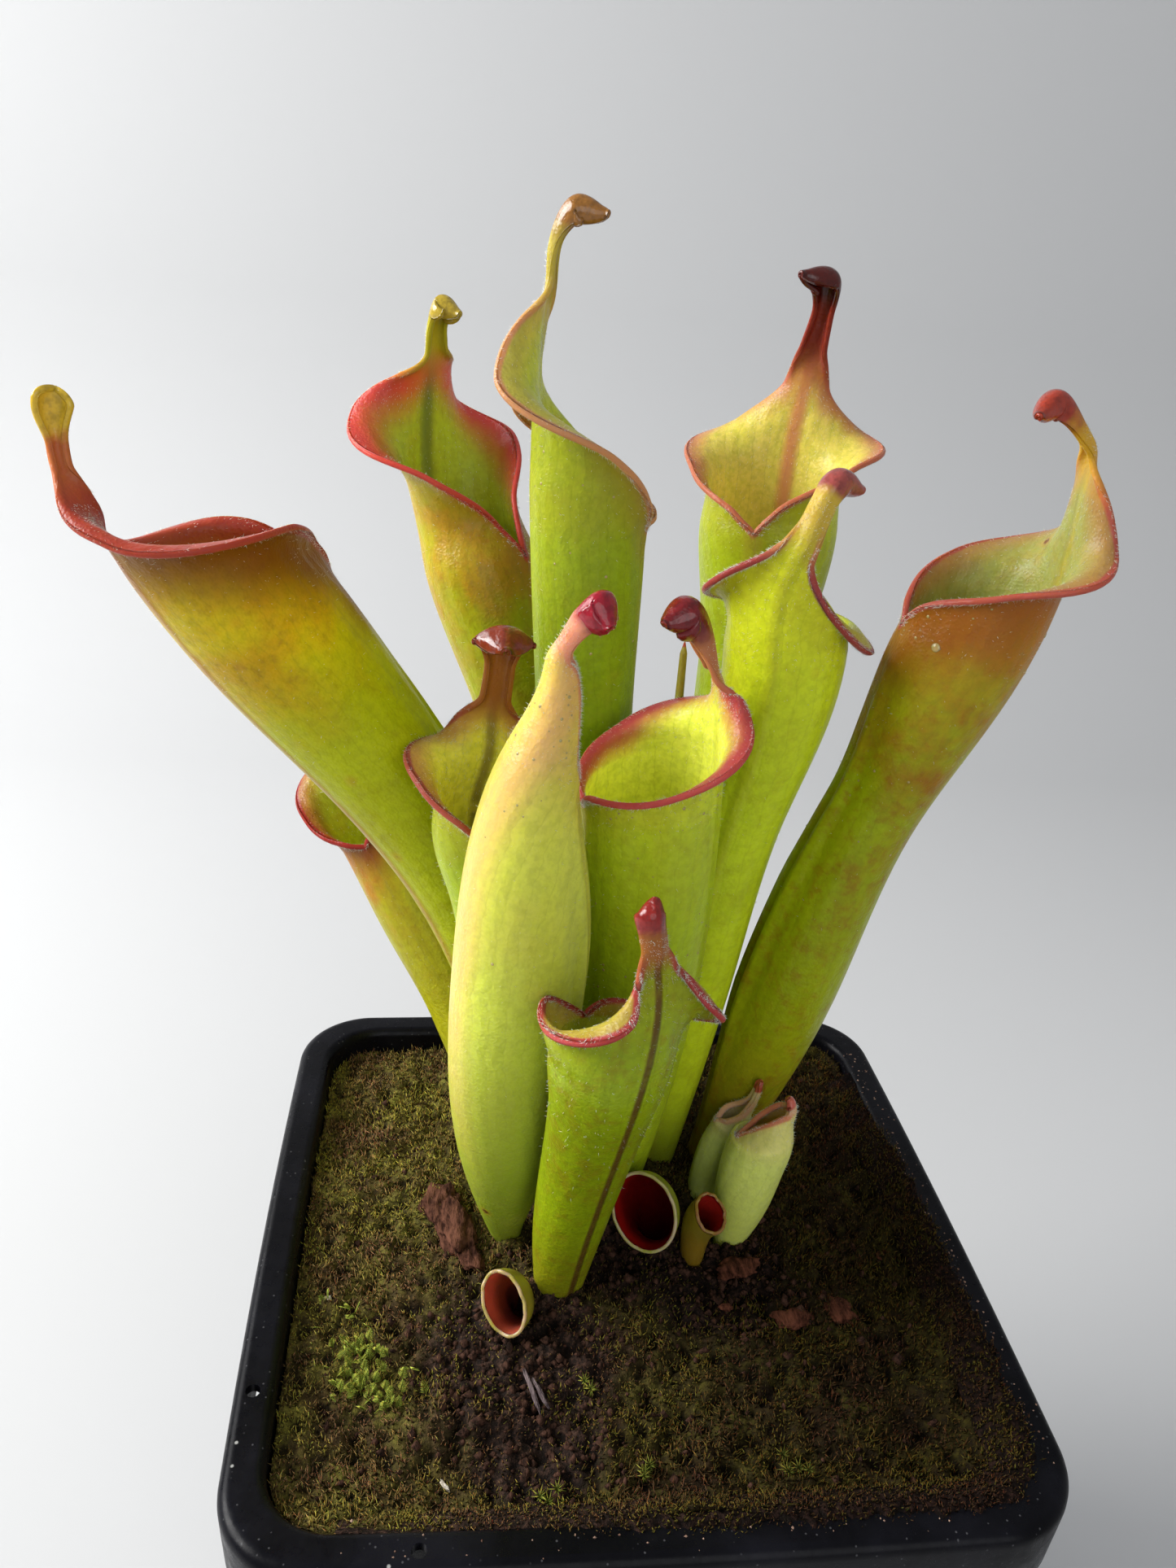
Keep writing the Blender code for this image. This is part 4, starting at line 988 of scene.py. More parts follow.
class LeafShader(Shader):
    """A leaf's node tree, with the facts and the noises that the parts of its look share."""

    def __init__(self, name):
        super().__init__(name)
        place = self.place()
        self.cloud = self.noise(place, 60.0, 3.0)
        self.patch = self.noise(place, 190.0, 3.0, 0.6)
        self.speckle = self.noise(place, 750.0, 2.0, 0.6)
        self.station = self.fact("station")
        self.edge = self.fact("edge")
        self.sideways = self.fact("sideways")
        self.inside = self.fact("inside")
        self.within = self.smooth(self.inside, 0.3, 0.7)
        self.without = self.fade(self.inside, 0.3, 0.7)
        self.level = self.plus(self.station, self.times(self.math("SUBTRACT", self.cloud, 0.5), 1.6))
        self.wave = self.math("PINGPONG", self.plus(self.sideways, self.times(self.patch, 3.0)), 1.5)


def leaf_outside(s, look):
    """The foot's colour, the body's and, under the rim, the top's, with warm blotches over them."""
    outer = s.mix(s.smooth(s.fact("along"), 4.0, look["foot_reach"]), look["foot"], look["body"])
    outer = s.mix(s.smooth(s.level, WAIST, THROAT + 0.6), outer, look["top"])
    outer = s.mix(s.smooth(s.cloud, 0.30, 0.75, 0.0, 0.35), outer, darker(look["body"], 0.62))
    blotch = s.plus(s.times(s.cloud, 0.6), s.times(s.patch, 0.4))
    height = s.smooth(s.station, BELLY + 0.2, THROAT + 0.6)
    blotch = s.smooth(s.plus(blotch, s.times(height, 0.12)), 0.48, 0.70)
    start = look["blush_from"]
    warm = s.times(s.smooth(s.level, start, start + 2.0, 0.1, 1.0), look["blush_amount"])
    warm = s.times(blotch, warm)
    outer = s.mix(warm, outer, look["blush"])
    flecks = s.times(s.smooth(s.speckle, 0.60, 0.72), warm)
    return s.mix(s.times(flecks, 0.6), outer, look["lip"])


def leaf_grain(s, look, colour):
    """Fine wandering veins up the leaf, a soft grain between them, and stains."""
    colour = s.mix(s.fade(s.wave, 0.0, 0.22, look["veins"]), colour, darker(look["body"], 0.45))
    colour = s.mix(s.smooth(s.speckle, 0.35, 0.70, 0.0, 0.28), colour, darker(look["body"], 0.5))
    rough = s.plus(s.noise(s.place(), 330.0, 5.0, 0.72), s.times(s.cloud, 0.3))
    stain = s.times(s.smooth(s.inside, 0.3, 0.7, 1.0, 0.3), look["mottle"])
    return s.mix(s.times(s.smooth(rough, 0.60, 0.86), stain), colour, look["shade"])


def leaf_keel(s, look):
    """How strong the stripe along the keel is."""
    off_keel = s.math("ABSOLUTE", s.plus(s.sideways, look["midrib_aside"]))
    near_keel = s.fade(off_keel, 0.3, look["midrib_wide"])
    near_keel = s.times(near_keel, s.smooth(s.patch, 0.2, 0.5, 0.6, 1.0))
    start = look["midrib_from"]
    return s.times(near_keel, s.smooth(s.level, start, start + 1.6))


def leaf_margin(s, look, colour):
    """A wide soft flush within, a dark band under the rim, the seam's line and the lip itself."""
    reach = s.plus(s.edge, s.times(s.math("SUBTRACT", s.patch, 0.5), 3.0))
    flush = s.times(s.fade(reach, 0.8, look["margin_reach"], look["margin"]), s.within)
    flush = s.times(flush, s.smooth(s.station, THROAT - 0.2, THROAT + 0.3))
    under = s.times(s.fade(reach, look["under_from"], look["under_reach"], look["under_rim"]), s.without)
    under = s.times(under, s.smooth(s.station, WAIST, THROAT - 0.1))
    ridge = s.times(s.fade(s.plus(s.fact("seam"), s.patch), 1.6, 3.2, look["seam_line"]), s.without)
    ridge = s.times(ridge, s.smooth(s.station, BELLY + 0.2, WAIST + 0.4))
    band = s.fade(s.plus(s.edge, s.times(s.patch, 0.7)), 0.8, 1.3)
    band = s.times(band, s.smooth(s.station, THROAT - 0.1, THROAT + 0.05))
    for amount, tint in ((flush, "lip"), (under, "shade"), (ridge, "lip"), (band, "lip")):
        colour = s.mix(amount, colour, look[tint])
    return colour


def leaf_spots(s, look, colour):
    """Scattered dark spots, each in a brown ring."""
    near_spot, which = s.cells(s.place(), 120.0)
    rare = 0.95 - 0.2 * look["spots"]
    chosen = s.smooth(which, rare, rare + 0.01)
    for reach, amount, tint in ((0.24, 0.35, (0.42, 0.16, 0.02)), (0.10, 0.85, (0.10, 0.018, 0.006))):
        spot = s.times(s.fade(near_spot, 0.05, reach), chosen)
        colour = s.mix(s.times(spot, amount), colour, tint)
    return colour


def leaf_material(name, look):
    """Waxy leaf: green tube, warm blotches, red margin, stained neck and a glossy spoon."""
    look = {**PLAIN_LOOK, **look}
    s = LeafShader(name)
    inner = s.mix(s.smooth(s.patch, 0.4, 0.8, 0.0, 0.4), look["inside"], look["top"])
    colour = leaf_grain(s, look, s.mix(s.within, leaf_outside(s, look), inner))
    near_keel = leaf_keel(s, look)
    colour = s.mix(s.times(near_keel, look["midrib_amount"]), colour, look["midrib"])
    colour = leaf_margin(s, look, colour)
    colour = s.mix(s.smooth(s.station, LOBE + 0.6, NECK + 0.2), colour, look["neck"])
    tip = s.smooth(s.plus(s.station, s.times(s.patch, 0.8)), BEND + 0.4, BEND + 0.9)
    spoon = s.mix(s.smooth(s.speckle, 0.4, 0.7, 0.0, 0.5), look["spoon"], darker(look["spoon"], 0.4))
    s.set(Base_Color=leaf_spots(s, look, s.mix(tip, colour, spoon)))
    s.set(Roughness=s.smooth(tip, 0.0, 1.0, 0.33, 0.20))
    s.set(Coat_Weight=s.smooth(tip, 0.0, 1.0, 0.0, 0.5))
    s.set(Coat_Roughness=0.05, Specular_IOR_Level=0.17)
    s.set(Subsurface_Weight=s.smooth(tip, 0.0, 1.0, 0.75, 0.15))
    s.set(Subsurface_Scale=0.0018, Subsurface_Radius=(1.0, 0.9, 0.12))
    pebbles, _ = s.cells(s.place(), 1900.0)
    relief = s.bump(pebbles, 0.00009, 0.7)
    relief = s.bump(s.wave, 0.00015, 0.35, relief)
    relief = s.bump(near_keel, 0.0005, 0.5, relief)
    s.set(Normal=s.bump(s.patch, 0.0007, 0.4, relief))
    return s.material


def juvenile_material(name, look):
    """The first leaves: green outside, deep red within and darker down the tube as painted shade, with a
    pale rim.
    """
    s = Shader(name)
    place = s.place()
    along, edge, inside = s.fact("along"), s.fact("edge"), s.fact("inside")
    patch = s.noise(place, 300.0, 3.0, 0.6)
    grain = s.noise(place, 1800.0, 2.0)
    outer = s.mix(s.smooth(along, 4.0, 18.0), look["foot"], look["body"])
    outer = s.mix(s.fade(edge, 2.0, 8.0), outer, look["top"])
    outer = s.mix(s.smooth(patch, 0.4, 0.75, 0.0, 0.5), outer, look["foot"])
    deep = darker(look["inside"], 0.35)
    inner = s.mix(s.smooth(patch, 0.3, 0.8, 0.0, 0.5), look["inside"], deep)
    # Painted shade: the inside darkens further down from the mouth.
    inner = s.mix(s.smooth(edge, 1.5, 7.0), inner, deep)
    colour = s.mix(s.smooth(inside, 0.55, 0.8), outer, inner)
    rim = s.fade(s.plus(edge, s.times(patch, 0.6)), 0.20, 0.45)
    colour = s.mix(rim, colour, look["lip"])
    s.set(Base_Color=colour, Roughness=0.30, Subsurface_Weight=0.7, Subsurface_Scale=0.0022)
    s.set(Specular_IOR_Level=0.35, Subsurface_Radius=(1.0, 0.8, 0.15))
    s.set(Normal=s.bump(grain, 0.00006, 0.6))
    return s.material


def add_leaf(name, sheet, material, lip_thick):
    mesh = shell(name + "_fine", *sheet, lip_thick)
    add_piece(name + "_fine", mesh, material(name, LOOKS[name]), name)


def make_leaves():
    """All leaves but the spike; returns each one's grid, the number of its closed rows, and its facts."""
    sheets = {}
    for name, leaf in GROWN.items():
        sheets[name] = pitcher_sheet({**leaf, "wing": WINGS.get(name, 0.0)}, ROWS, AROUND)
    for name, leaf in YOUNG.items():
        sheets[name] = pitcher_sheet(leaf, YOUNG_ROWS, YOUNG_AROUND)
    for name, sheet in sheets.items():
        add_leaf(name, sheet, leaf_material, LIP_THICK)
    for name, leaf in JUVENILE.items():
        sheets[name] = tube_sheet(leaf, TUBE_ROWS, AROUND)
        add_leaf(name, sheets[name], juvenile_material, SHEET_THICK)
    return sheets


def spike_mesh(name, roots, reach, width, seed, facts=None):
    """Thin three-sided spikes from root to tip, each closed at its foot."""
    count = len(roots)
    turn = np.random.default_rng(seed).uniform(0, 2 * math.pi, count)
    way = unit(reach)
    aside = np.where(abs(way[:, 2:]) < 0.9, np.array([[0.0, 0.0, 1.0]]), np.array([[1.0, 0.0, 0.0]]))
    side = unit(np.cross(way, aside))
    other = np.cross(way, side)
    corners = []
    for k in range(3):
        angle = (turn + 2 * math.pi * k / 3)[:, None]
        corners.append(roots + (side * np.cos(angle) + other * np.sin(angle)) * width[:, None])
    points = np.stack([*corners, roots + reach], axis=1).reshape(-1, 3)
    first = 4 * np.arange(count)[:, None]
    faces = np.concatenate([first + face for face in ((0, 1, 3), (1, 2, 3), (2, 0, 3), (2, 1, 0))])
    mesh = mesh_from(name, points, faces)
    for key, values in (facts or {}).items():
        set_fact(mesh, key, np.repeat(values, 4))
    set_fact(mesh, "up", np.tile([0.0, 0.0, 0.0, 1.0], count))
    return mesh


def on_sheet(grid, out, rows, columns):
    """Points of a sheet at fractional rows and columns, the ways out and up there, and what cell it is."""
    i = np.clip(rows.astype(int), 0, grid.shape[0] - 2)
    j = np.clip(columns.astype(int), 0, grid.shape[1] - 2)
    a, b = (rows - i)[:, None], (columns - j)[:, None]

    def blend(field):
        low = field[i, j] * (1 - b) + field[i, j + 1] * b
        high = field[i + 1, j] * (1 - b) + field[i + 1, j + 1] * b
        return low * (1 - a) + high * a

    return blend(grid), unit(blend(out)), unit(grid[i + 1, j] - grid[i, j]), i, j


def hair_material():
    """Short clear hairs that catch the light."""
    s = Shader("leaf hairs")
    shade = s.noise(s.place(), 400.0)
    s.set(Base_Color=s.mix(shade, (0.62, 0.60, 0.46), (0.90, 0.90, 0.84)))
    s.set(Roughness=0.35, Subsurface_Weight=0.4, Subsurface_Scale=0.0002)
    return s.material


def lip_hairs(rng, grid, out, station, count):
    """Hairs along the lip, out past the edge and bent over it."""
    last = grid.shape[1] - 1
    lip_rows = np.flatnonzero((station > THROAT + 0.05) & (station < CREST + 0.5))
    at = rng.uniform(lip_rows[0], lip_rows[-1], count)
    inset = rng.uniform(0.0, 1.6, count) ** 1.5
    left = rng.random(count) < 0.5
    place, outward, upward, i, _ = on_sheet(grid, out, at, np.where(left, inset, last - inset))
    past = unit(grid[i, np.where(left, 0, last)] - grid[i, np.where(left, 1, last - 1)])
    side = rng.uniform(-0.6, 1.0, count)[:, None]
    way = unit(past * rng.uniform(0.2, 1.0, count)[:, None] + outward * side
               + rng.normal(0, 0.35, (count, 3)) - upward * 0.2)
    roots = place + outward * np.sign(side) * LIP_THICK * 0.4
    return roots, way * rng.uniform(0.35, 0.85, count)[:, None]


def outer_hairs(rng, grid, out, count):
    """Hairs that stand out from the outside."""
    rows, columns = grid.shape[:2]
    at = rng.uniform(rows * 0.12, rows * 0.80, count)
    place, outward, upward, _, _ = on_sheet(grid, out, at, rng.uniform(0, columns - 1, count))
    rise = rng.uniform(-0.2, 0.7, count)[:, None]
    way = unit(outward + upward * rise + rng.normal(0, 0.25, (count, 3)))
    return place + outward * UNDER_SKIN, way * rng.uniform(0.25, 0.75, count)[:, None]


def inner_hairs(rng, grid, out, station, count):
    """Hairs within the mouth, pointing down."""
    mouth = np.flatnonzero((station > THROAT - 0.3) & (station < CREST))
    at = rng.uniform(mouth[0], mouth[-1], count)
    columns = rng.uniform(1, grid.shape[1] - 2, count)
    place, outward, upward, _, _ = on_sheet(grid, out, at, columns)
    way = unit(-outward * 0.55 - upward + rng.normal(0, 0.2, (count, 3)))
    return place - outward * UNDER_SKIN, way * rng.uniform(0.25, 0.6, count)[:, None]


def make_hairs(sheets):
    look = hair_material()
    for seed, (name, (grid, closed, facts)) in enumerate(sheets.items()):
        if name in JUVENILE:
            continue
        rng = np.random.default_rng(100 + seed)
        out = normals_of(grid, closed)
        station = facts["station"][:, 0]
        share = HAIR_SHARES.get(name, 1.0)
        parts = [
            lip_hairs(rng, grid, out, station, int(LIP_HAIRS * share * FELTED.get(name, 1.0))),
            outer_hairs(rng, grid, out, int(OUTER_HAIRS * share)),
            inner_hairs(rng, grid, out, station, int(INNER_HAIRS * share)),
        ]
        roots, reach = (np.vstack(part) for part in zip(*parts))
        width = rng.uniform(0.6, 1.2, len(roots)) * HAIR_WIDTH
        mesh = spike_mesh(name + "_hairs", roots, reach, width, 200 + seed)
        add_piece(name + "_hairs", mesh, look)


def bead_mesh(name, places, ways, sizes):
    """Small round domes on a surface, each closed underneath."""
    points, faces = [], []
    for place, way, size in zip(places, ways, sizes):
        aside = Vector((0, 0, 1)) if abs(way[2]) < 0.9 else Vector((1, 0, 0))
        side = np.array(Vector(way).cross(aside).normalized())
        other = np.cross(way, side)
        start = len(points)
        for level in BEAD_LEVELS:
            reach = size * math.cos(level * math.pi / 2)
            lift = BEAD_HEIGHT * size * math.sin(level * math.pi / 2)
            for k in range(BEAD_SIDES):
                angle = 2 * math.pi * k / BEAD_SIDES
                spoke = side * math.cos(angle) + other * math.sin(angle)
                points.append(place + way * lift + spoke * reach)
        points.append(place + way * BEAD_HEIGHT * size)
        ids = ring_ids(len(BEAD_LEVELS), BEAD_SIDES, start)
        faces += grid_faces(ids)
        faces += [[a, b, len(points) - 1] for a, b in zip(ids[-1, :-1], ids[-1, 1:])]
        faces.append(ids[0, :-1][::-1])
    return mesh_from(name, np.array(points), faces)


def bead_material():
    """Clear sap and small pale scales."""
    s = Shader("sap beads")
    shade = s.noise(s.place(), 500.0)
    s.set(Base_Color=s.mix(shade, (0.30, 0.22, 0.05), (0.50, 0.38, 0.16)), Roughness=0.2)
    s.set(Subsurface_Weight=0.5, Subsurface_Scale=0.0006, Coat_Weight=0.6)
    return s.material


def make_beads(sheets):
    look = bead_material()
    for seed, (name, (fine, broad)) in enumerate(BEADS.items()):
        grid, closed, _ = sheets[name]
        rng = np.random.default_rng(400 + seed)
        out = normals_of(grid, closed)
        count = fine + broad
        at = rng.uniform(0.15, 0.55, count) * grid.shape[0]
        column = rng.uniform(2, grid.shape[1] - 3, count)
        place, outward, _, _, _ = on_sheet(grid, out, at, column)
        sizes = np.concatenate([rng.uniform(0.12, 0.30, fine), rng.uniform(0.35, 0.9, broad)])
        places = place + outward * UNDER_SKIN
        mesh = bead_mesh(name + "_beads", places, outward, sizes)
        add_piece(name + "_beads", mesh, look)


def make_spike():
    """The thin new leaf, still rolled to a point."""
    grid, _, facts = tube_sheet(SPIKE, SPIKE_ROWS, SPIKE_AROUND)
    grid[-1] = grid[-1].mean(axis=0) + (grid[-1] - grid[-1].mean(axis=0)) * 0.2
    points = grid[:, :-1].reshape(-1, 3)
    mesh = mesh_from("young_leaf_spike_fine", points, tube_faces(SPIKE_ROWS, SPIKE_AROUND))
    for key, values in facts.items():
        set_fact(mesh, key, values[:, :-1].reshape(-1))
    set_fact(mesh, "inside", np.zeros(len(points)))
    add_piece("young_leaf_spike_fine", mesh, leaf_material("spike", LOOKS["young_leaf_spike"]),
              "young_leaf_spike")


def rounded_square(half, corner, bulge):
    """A square's outline with round corners and slightly swollen sides, counter-clockwise."""
    points = []
    straight = half - corner
    for quarter in range(4):
        angle = quarter * math.pi / 2
        turn = np.array([[math.cos(angle), -math.sin(angle)], [math.sin(angle), math.cos(angle)]])
        for k in range(SIDE_STEPS):
            share = -1 + 2 * k / SIDE_STEPS
            points.append(turn @ (half + bulge * (1 - share ** 2), share * straight))
        for k in range(CORNER_STEPS):
            bend = k / CORNER_STEPS * math.pi / 2
            points.append(turn @ (straight + corner * math.cos(bend),
                                  straight + corner * math.sin(bend)))
    return np.array(points)


def rounding(half, reach, corner, widening, depth, angles):
    """Sections round one edge of the lip, level with the pot's top at 90 degrees."""
    rows = []
    for angle in np.radians(angles):
        bend = 1 - math.cos(angle)
        height = POT_HEIGHT - depth + depth * math.sin(angle)
        rows.append((half + reach * bend, corner + widening * bend, SIDE_BULGE, height))
    return rows


def pot_profile():
    """Half the width, the corner's radius, the bulge and the height, round the pot's section."""
    rim = POT_WIDTH / 2
    base = BASE_WIDTH / 2
    inner = rim - FLANGE_WIDTH
    top = POT_HEIGHT
    wall_out = inner + POT_WALL
    skirt_in = rim - SKIRT_WALL
    under = top - FLANGE_THICK
    rows = [
        (base - 1.0, BASE_CORNER - 1.0, 0.0, 0.0),
        (base - 0.3, BASE_CORNER - 0.3, 0.0, 0.3),
        (base, BASE_CORNER, 0.0, 1.0),
    ]
    for share in np.linspace(0.05, 1.0, 14):
        rows.append((base + (wall_out - base) * share,
                     BASE_CORNER + (INNER_CORNER + POT_WALL - BASE_CORNER) * share,
                     SIDE_BULGE * share, 1.0 + (under - 1.0) * share))
    rows += [
        (skirt_in - 0.2, RIM_CORNER - SKIRT_WALL, SIDE_BULGE, under),
        (skirt_in - 0.5, RIM_CORNER - SKIRT_WALL, SIDE_BULGE, top - SKIRT_DEPTH),
        (rim - 0.7, RIM_CORNER - 0.3, SIDE_BULGE, top - SKIRT_DEPTH),
        (rim - 0.4, RIM_CORNER, SIDE_BULGE, top - SKIRT_DEPTH + 0.4),
        (rim - 0.15, RIM_CORNER, SIDE_BULGE, top - SKIRT_DEPTH * 0.5),
        (rim, RIM_CORNER, SIDE_BULGE, top - 2.2),
    ]
    rows += rounding(rim, -LIP_OUTER_ROUND, RIM_CORNER, -1.4, LIP_OUTER_ROUND, np.linspace(15, 90, 6))
    rows.append(((rim + inner) / 2, RIM_CORNER - 2.8, SIDE_BULGE, top - 0.12))
    rows += rounding(inner, LIP_INNER_ROUND, INNER_CORNER, 1.3, 2.0, np.linspace(90, 10, 7))
    rows += [
        (inner, INNER_CORNER, SIDE_BULGE, top - 3.5),
        (base - POT_WALL, BASE_CORNER - 1.0, 0.0, FLOOR_THICK + 1.0),
        (base - POT_WALL - 1.0, BASE_CORNER - 2.0, 0.0, FLOOR_THICK),
    ]
    return rows


def pot_material():
    """Moulded black plastic, dulled by dust and dotted with small pale specks."""
    s = Shader("black plastic")
    place = s.place()
    cloud = s.noise(place, 60.0, 4.0, 0.6)
    scuff = s.noise(place, 400.0, 4.0, 0.7)
    colour = s.mix(s.smooth(cloud, 0.35, 0.75), (0.002, 0.002, 0.003), (0.006, 0.006, 0.009))
    near, which = s.cells(place, 380.0)
    speck = s.times(s.fade(near, 0.06, 0.14), s.smooth(which, 0.90, 0.95))
    fine, chance = s.cells(place, 1300.0)
    dust = s.times(s.fade(fine, 0.12, 0.28), s.smooth(chance, 0.86, 0.93))
    colour = s.mix(s.times(dust, 0.30), colour, (0.16, 0.16, 0.17))
    colour = s.mix(s.times(speck, 0.6), colour, (0.5, 0.5, 0.48))
    s.set(Base_Color=colour, Roughness=s.smooth(scuff, 0.3, 0.7, 0.24, 0.40))
    s.set(Specular_IOR_Level=0.09, Normal=s.bump(scuff, 0.0001, 0.4))
    return s.material


def hole_cutter(diameter, place, bottom, top):
    made = bmesh.new()
    bmesh.ops.create_cone(made, cap_ends=True, segments=HOLE_SIDES, radius1=diameter / 2 * MM,
                          radius2=diameter / 2 * MM, depth=(top - bottom) * MM)
    bmesh.ops.translate(made, verts=made.verts, vec=Vector((*place, (top + bottom) / 2)) * MM)
    mesh = bpy.data.meshes.new("hole")
    made.to_mesh(mesh)
    made.free()
    return bpy.data.objects.new("hole", mesh)


def with_holes(mesh):
    """The pot's mesh with the two holes in its flange and the four in its floor."""
    cutters = [hole_cutter(FLANGE_HOLE, place, POT_HEIGHT - 5, POT_HEIGHT + 2)
               for place in FLANGE_HOLE_PLACES]
    for quarter in range(4):
        angle = math.pi / 4 + quarter * math.pi / 2
        place = (DRAIN_HOLE_OUT * math.cos(angle), DRAIN_HOLE_OUT * math.sin(angle))
        cutters.append(hole_cutter(DRAIN_HOLE, place, -1.0, 4.0))
    solid = bpy.data.objects.new("pot_solid", mesh)
    things = [solid, *cutters]
    for thing in things:
        bpy.context.scene.collection.objects.link(thing)
    for cutter in cutters:
        cut = solid.modifiers.new("hole", "BOOLEAN")
        cut.solver = "EXACT"
        cut.object = cutter
    seen = solid.evaluated_get(bpy.context.evaluated_depsgraph_get())
    pierced = bpy.data.meshes.new_from_object(seen)
    for thing in things:
        bpy.data.objects.remove(thing)
    return pierced


def make_pot():
    sections = []
    for half, corner, bulge, height in pot_profile():
        outline = rounded_square(half, corner, bulge)
        sections.append(np.column_stack([outline, np.full(len(outline), height)]))
    faces = tube_faces(len(sections), len(sections[0]))
    mesh = with_holes(mesh_from("pot_solid", np.vstack(sections), faces))
    mesh.name = "pot_fine"
    mesh.shade_smooth()
    mesh.set_sharp_from_angle(angle=math.radians(40))
    add_piece("pot_fine", mesh, pot_material(), "pot")


def soil_height(x, y):
    away = (x - CLUMP_CENTRE[0]) ** 2 + (y - CLUMP_CENTRE[1]) ** 2
    mound = SOIL_MOUND * np.exp(-away / SOIL_MOUND_REACH ** 2)
    return SOIL_TOP + mound + SOIL_ROLL * np.sin(0.11 * x + 0.4) * np.cos(0.09 * y - 0.7)


def across_pot(a, b, half, corner, bulge):
    """A point of the square from -1 to 1 carried into the pot's section at one height."""
    straight = half - corner
    x, y = a * half, b * half
    p = np.clip((abs(x) - straight) / corner, 0, 1)
    q = np.clip((abs(y) - straight) / corner, 0, 1)
    rounded_x = np.sign(x) * (straight + corner * p * np.sqrt(1 - q ** 2 / 2))
    rounded_y = np.sign(y) * (straight + corner * q * np.sqrt(1 - p ** 2 / 2))
    x = np.where(p > 0, rounded_x, x)
    y = np.where(q > 0, rounded_y, y)
    swell_x = 1 + bulge / half * (1 - np.clip(y / straight, -1, 1) ** 2)
    swell_y = 1 + bulge / half * (1 - np.clip(x / straight, -1, 1) ** 2)
    return x * swell_x, y * swell_y


def ground_noise(x, y, scale, layer):
    """Smooth noise over the ground, about -1 to 1, with lumps of roughly one over the scale."""
    return np.array([noise.noise((u * scale, v * scale, layer)) for u, v in zip(x, y)])


def bare(x, y):
    """How bare the peat is: 1 in the middle of a patch where nothing grows."""
    out = np.zeros(len(x))
    for (at_x, at_y), reach in PEAT_PATCHES:
        away = ((x - at_x) ** 2 + (y - at_y) ** 2) / reach ** 2
        out = np.maximum(out, np.exp(-away))
    return out


def inside_tube(points, grid):
    """Which of the points lie within a tube, as one ring after another sees them."""
    found = np.zeros(len(points), bool)
    for low, high in zip(grid[:-1, :-1], grid[1:, :-1]):
        centre = low.mean(axis=0)
        along = high.mean(axis=0) - centre
        quarter = len(low) // 4
        first, second = low[0] - centre, low[quarter] - centre
        away = points - centre
        u = away @ first / (first @ first)
        v = away @ second / (second @ second)
        w = away @ along / (along @ along)
        found |= (u * u + v * v < 1.0) & (abs(w) < 1.5)
    return found


def ground(a, b):
    """The soil's surface with its lumps, pits and the moss that banks up against the pot."""
    x, y = across_pot(a, b, SOIL_HALF, INNER_CORNER, SIDE_BULGE)
    lumps, crumbs, grains = (high * ground_noise(x, y, fine, layer) for high, fine, layer in RELIEF)
    near_wall = np.clip((np.maximum(abs(a), abs(b)) - 0.80) / 0.20, 0, 1) ** 2
    towards_front = np.clip(0.55 + (x - y) / 120, 0.15, 1.0)
    rise = WALL_RISE * near_wall * towards_front
    sink = PEAT_SINK * bare(x, y)
    lift = (lumps + crumbs + grains) * (1 - 0.5 * near_wall) + rise - sink
    return x, y, soil_height(x, y) + lift, crumbs + grains


def soil_material():
    """Dark wet peat with brown crumbs and a film of moss."""
    s = Shader("peat")
    place = s.place()
    relief, peat = s.fact("relief"), s.fact("bare")
    patch = s.noise(place, 110.0, 4.0, 0.65)
    crumb = s.noise(place, 900.0, 3.0, 0.7)
    moss = s.mix(s.smooth(patch, 0.35, 0.70), (0.026, 0.016, 0.006), (0.070, 0.062, 0.011))
    moss = s.mix(s.fade(crumb, 0.35, 0.65, 0.75), moss, (0.009, 0.006, 0.003))
    earth = s.mix(s.smooth(crumb, 0.40, 0.75), (0.006, 0.004, 0.003), (0.044, 0.024, 0.016))
    colour = s.mix(s.smooth(s.plus(peat, s.times(crumb, 0.5)), 0.35, 0.75), moss, earth)
    # Painted shade: the ground goes near black in its hollows, where the relief is low.
    colour = s.mix(s.fade(relief, -0.8, 0.2, 0.85), colour, (0.003, 0.002, 0.0015))
    # The ground's colour carries painted shade at the pot's right and painted light at its back left.
    s.set(Base_Color=s.painted_shading(colour), Roughness=s.smooth(crumb, 0.3, 0.7, 0.6, 0.95))
    s.set(Specular_IOR_Level=0.05, Normal=s.bump(crumb, 0.0007, 1.0))
    return s.material


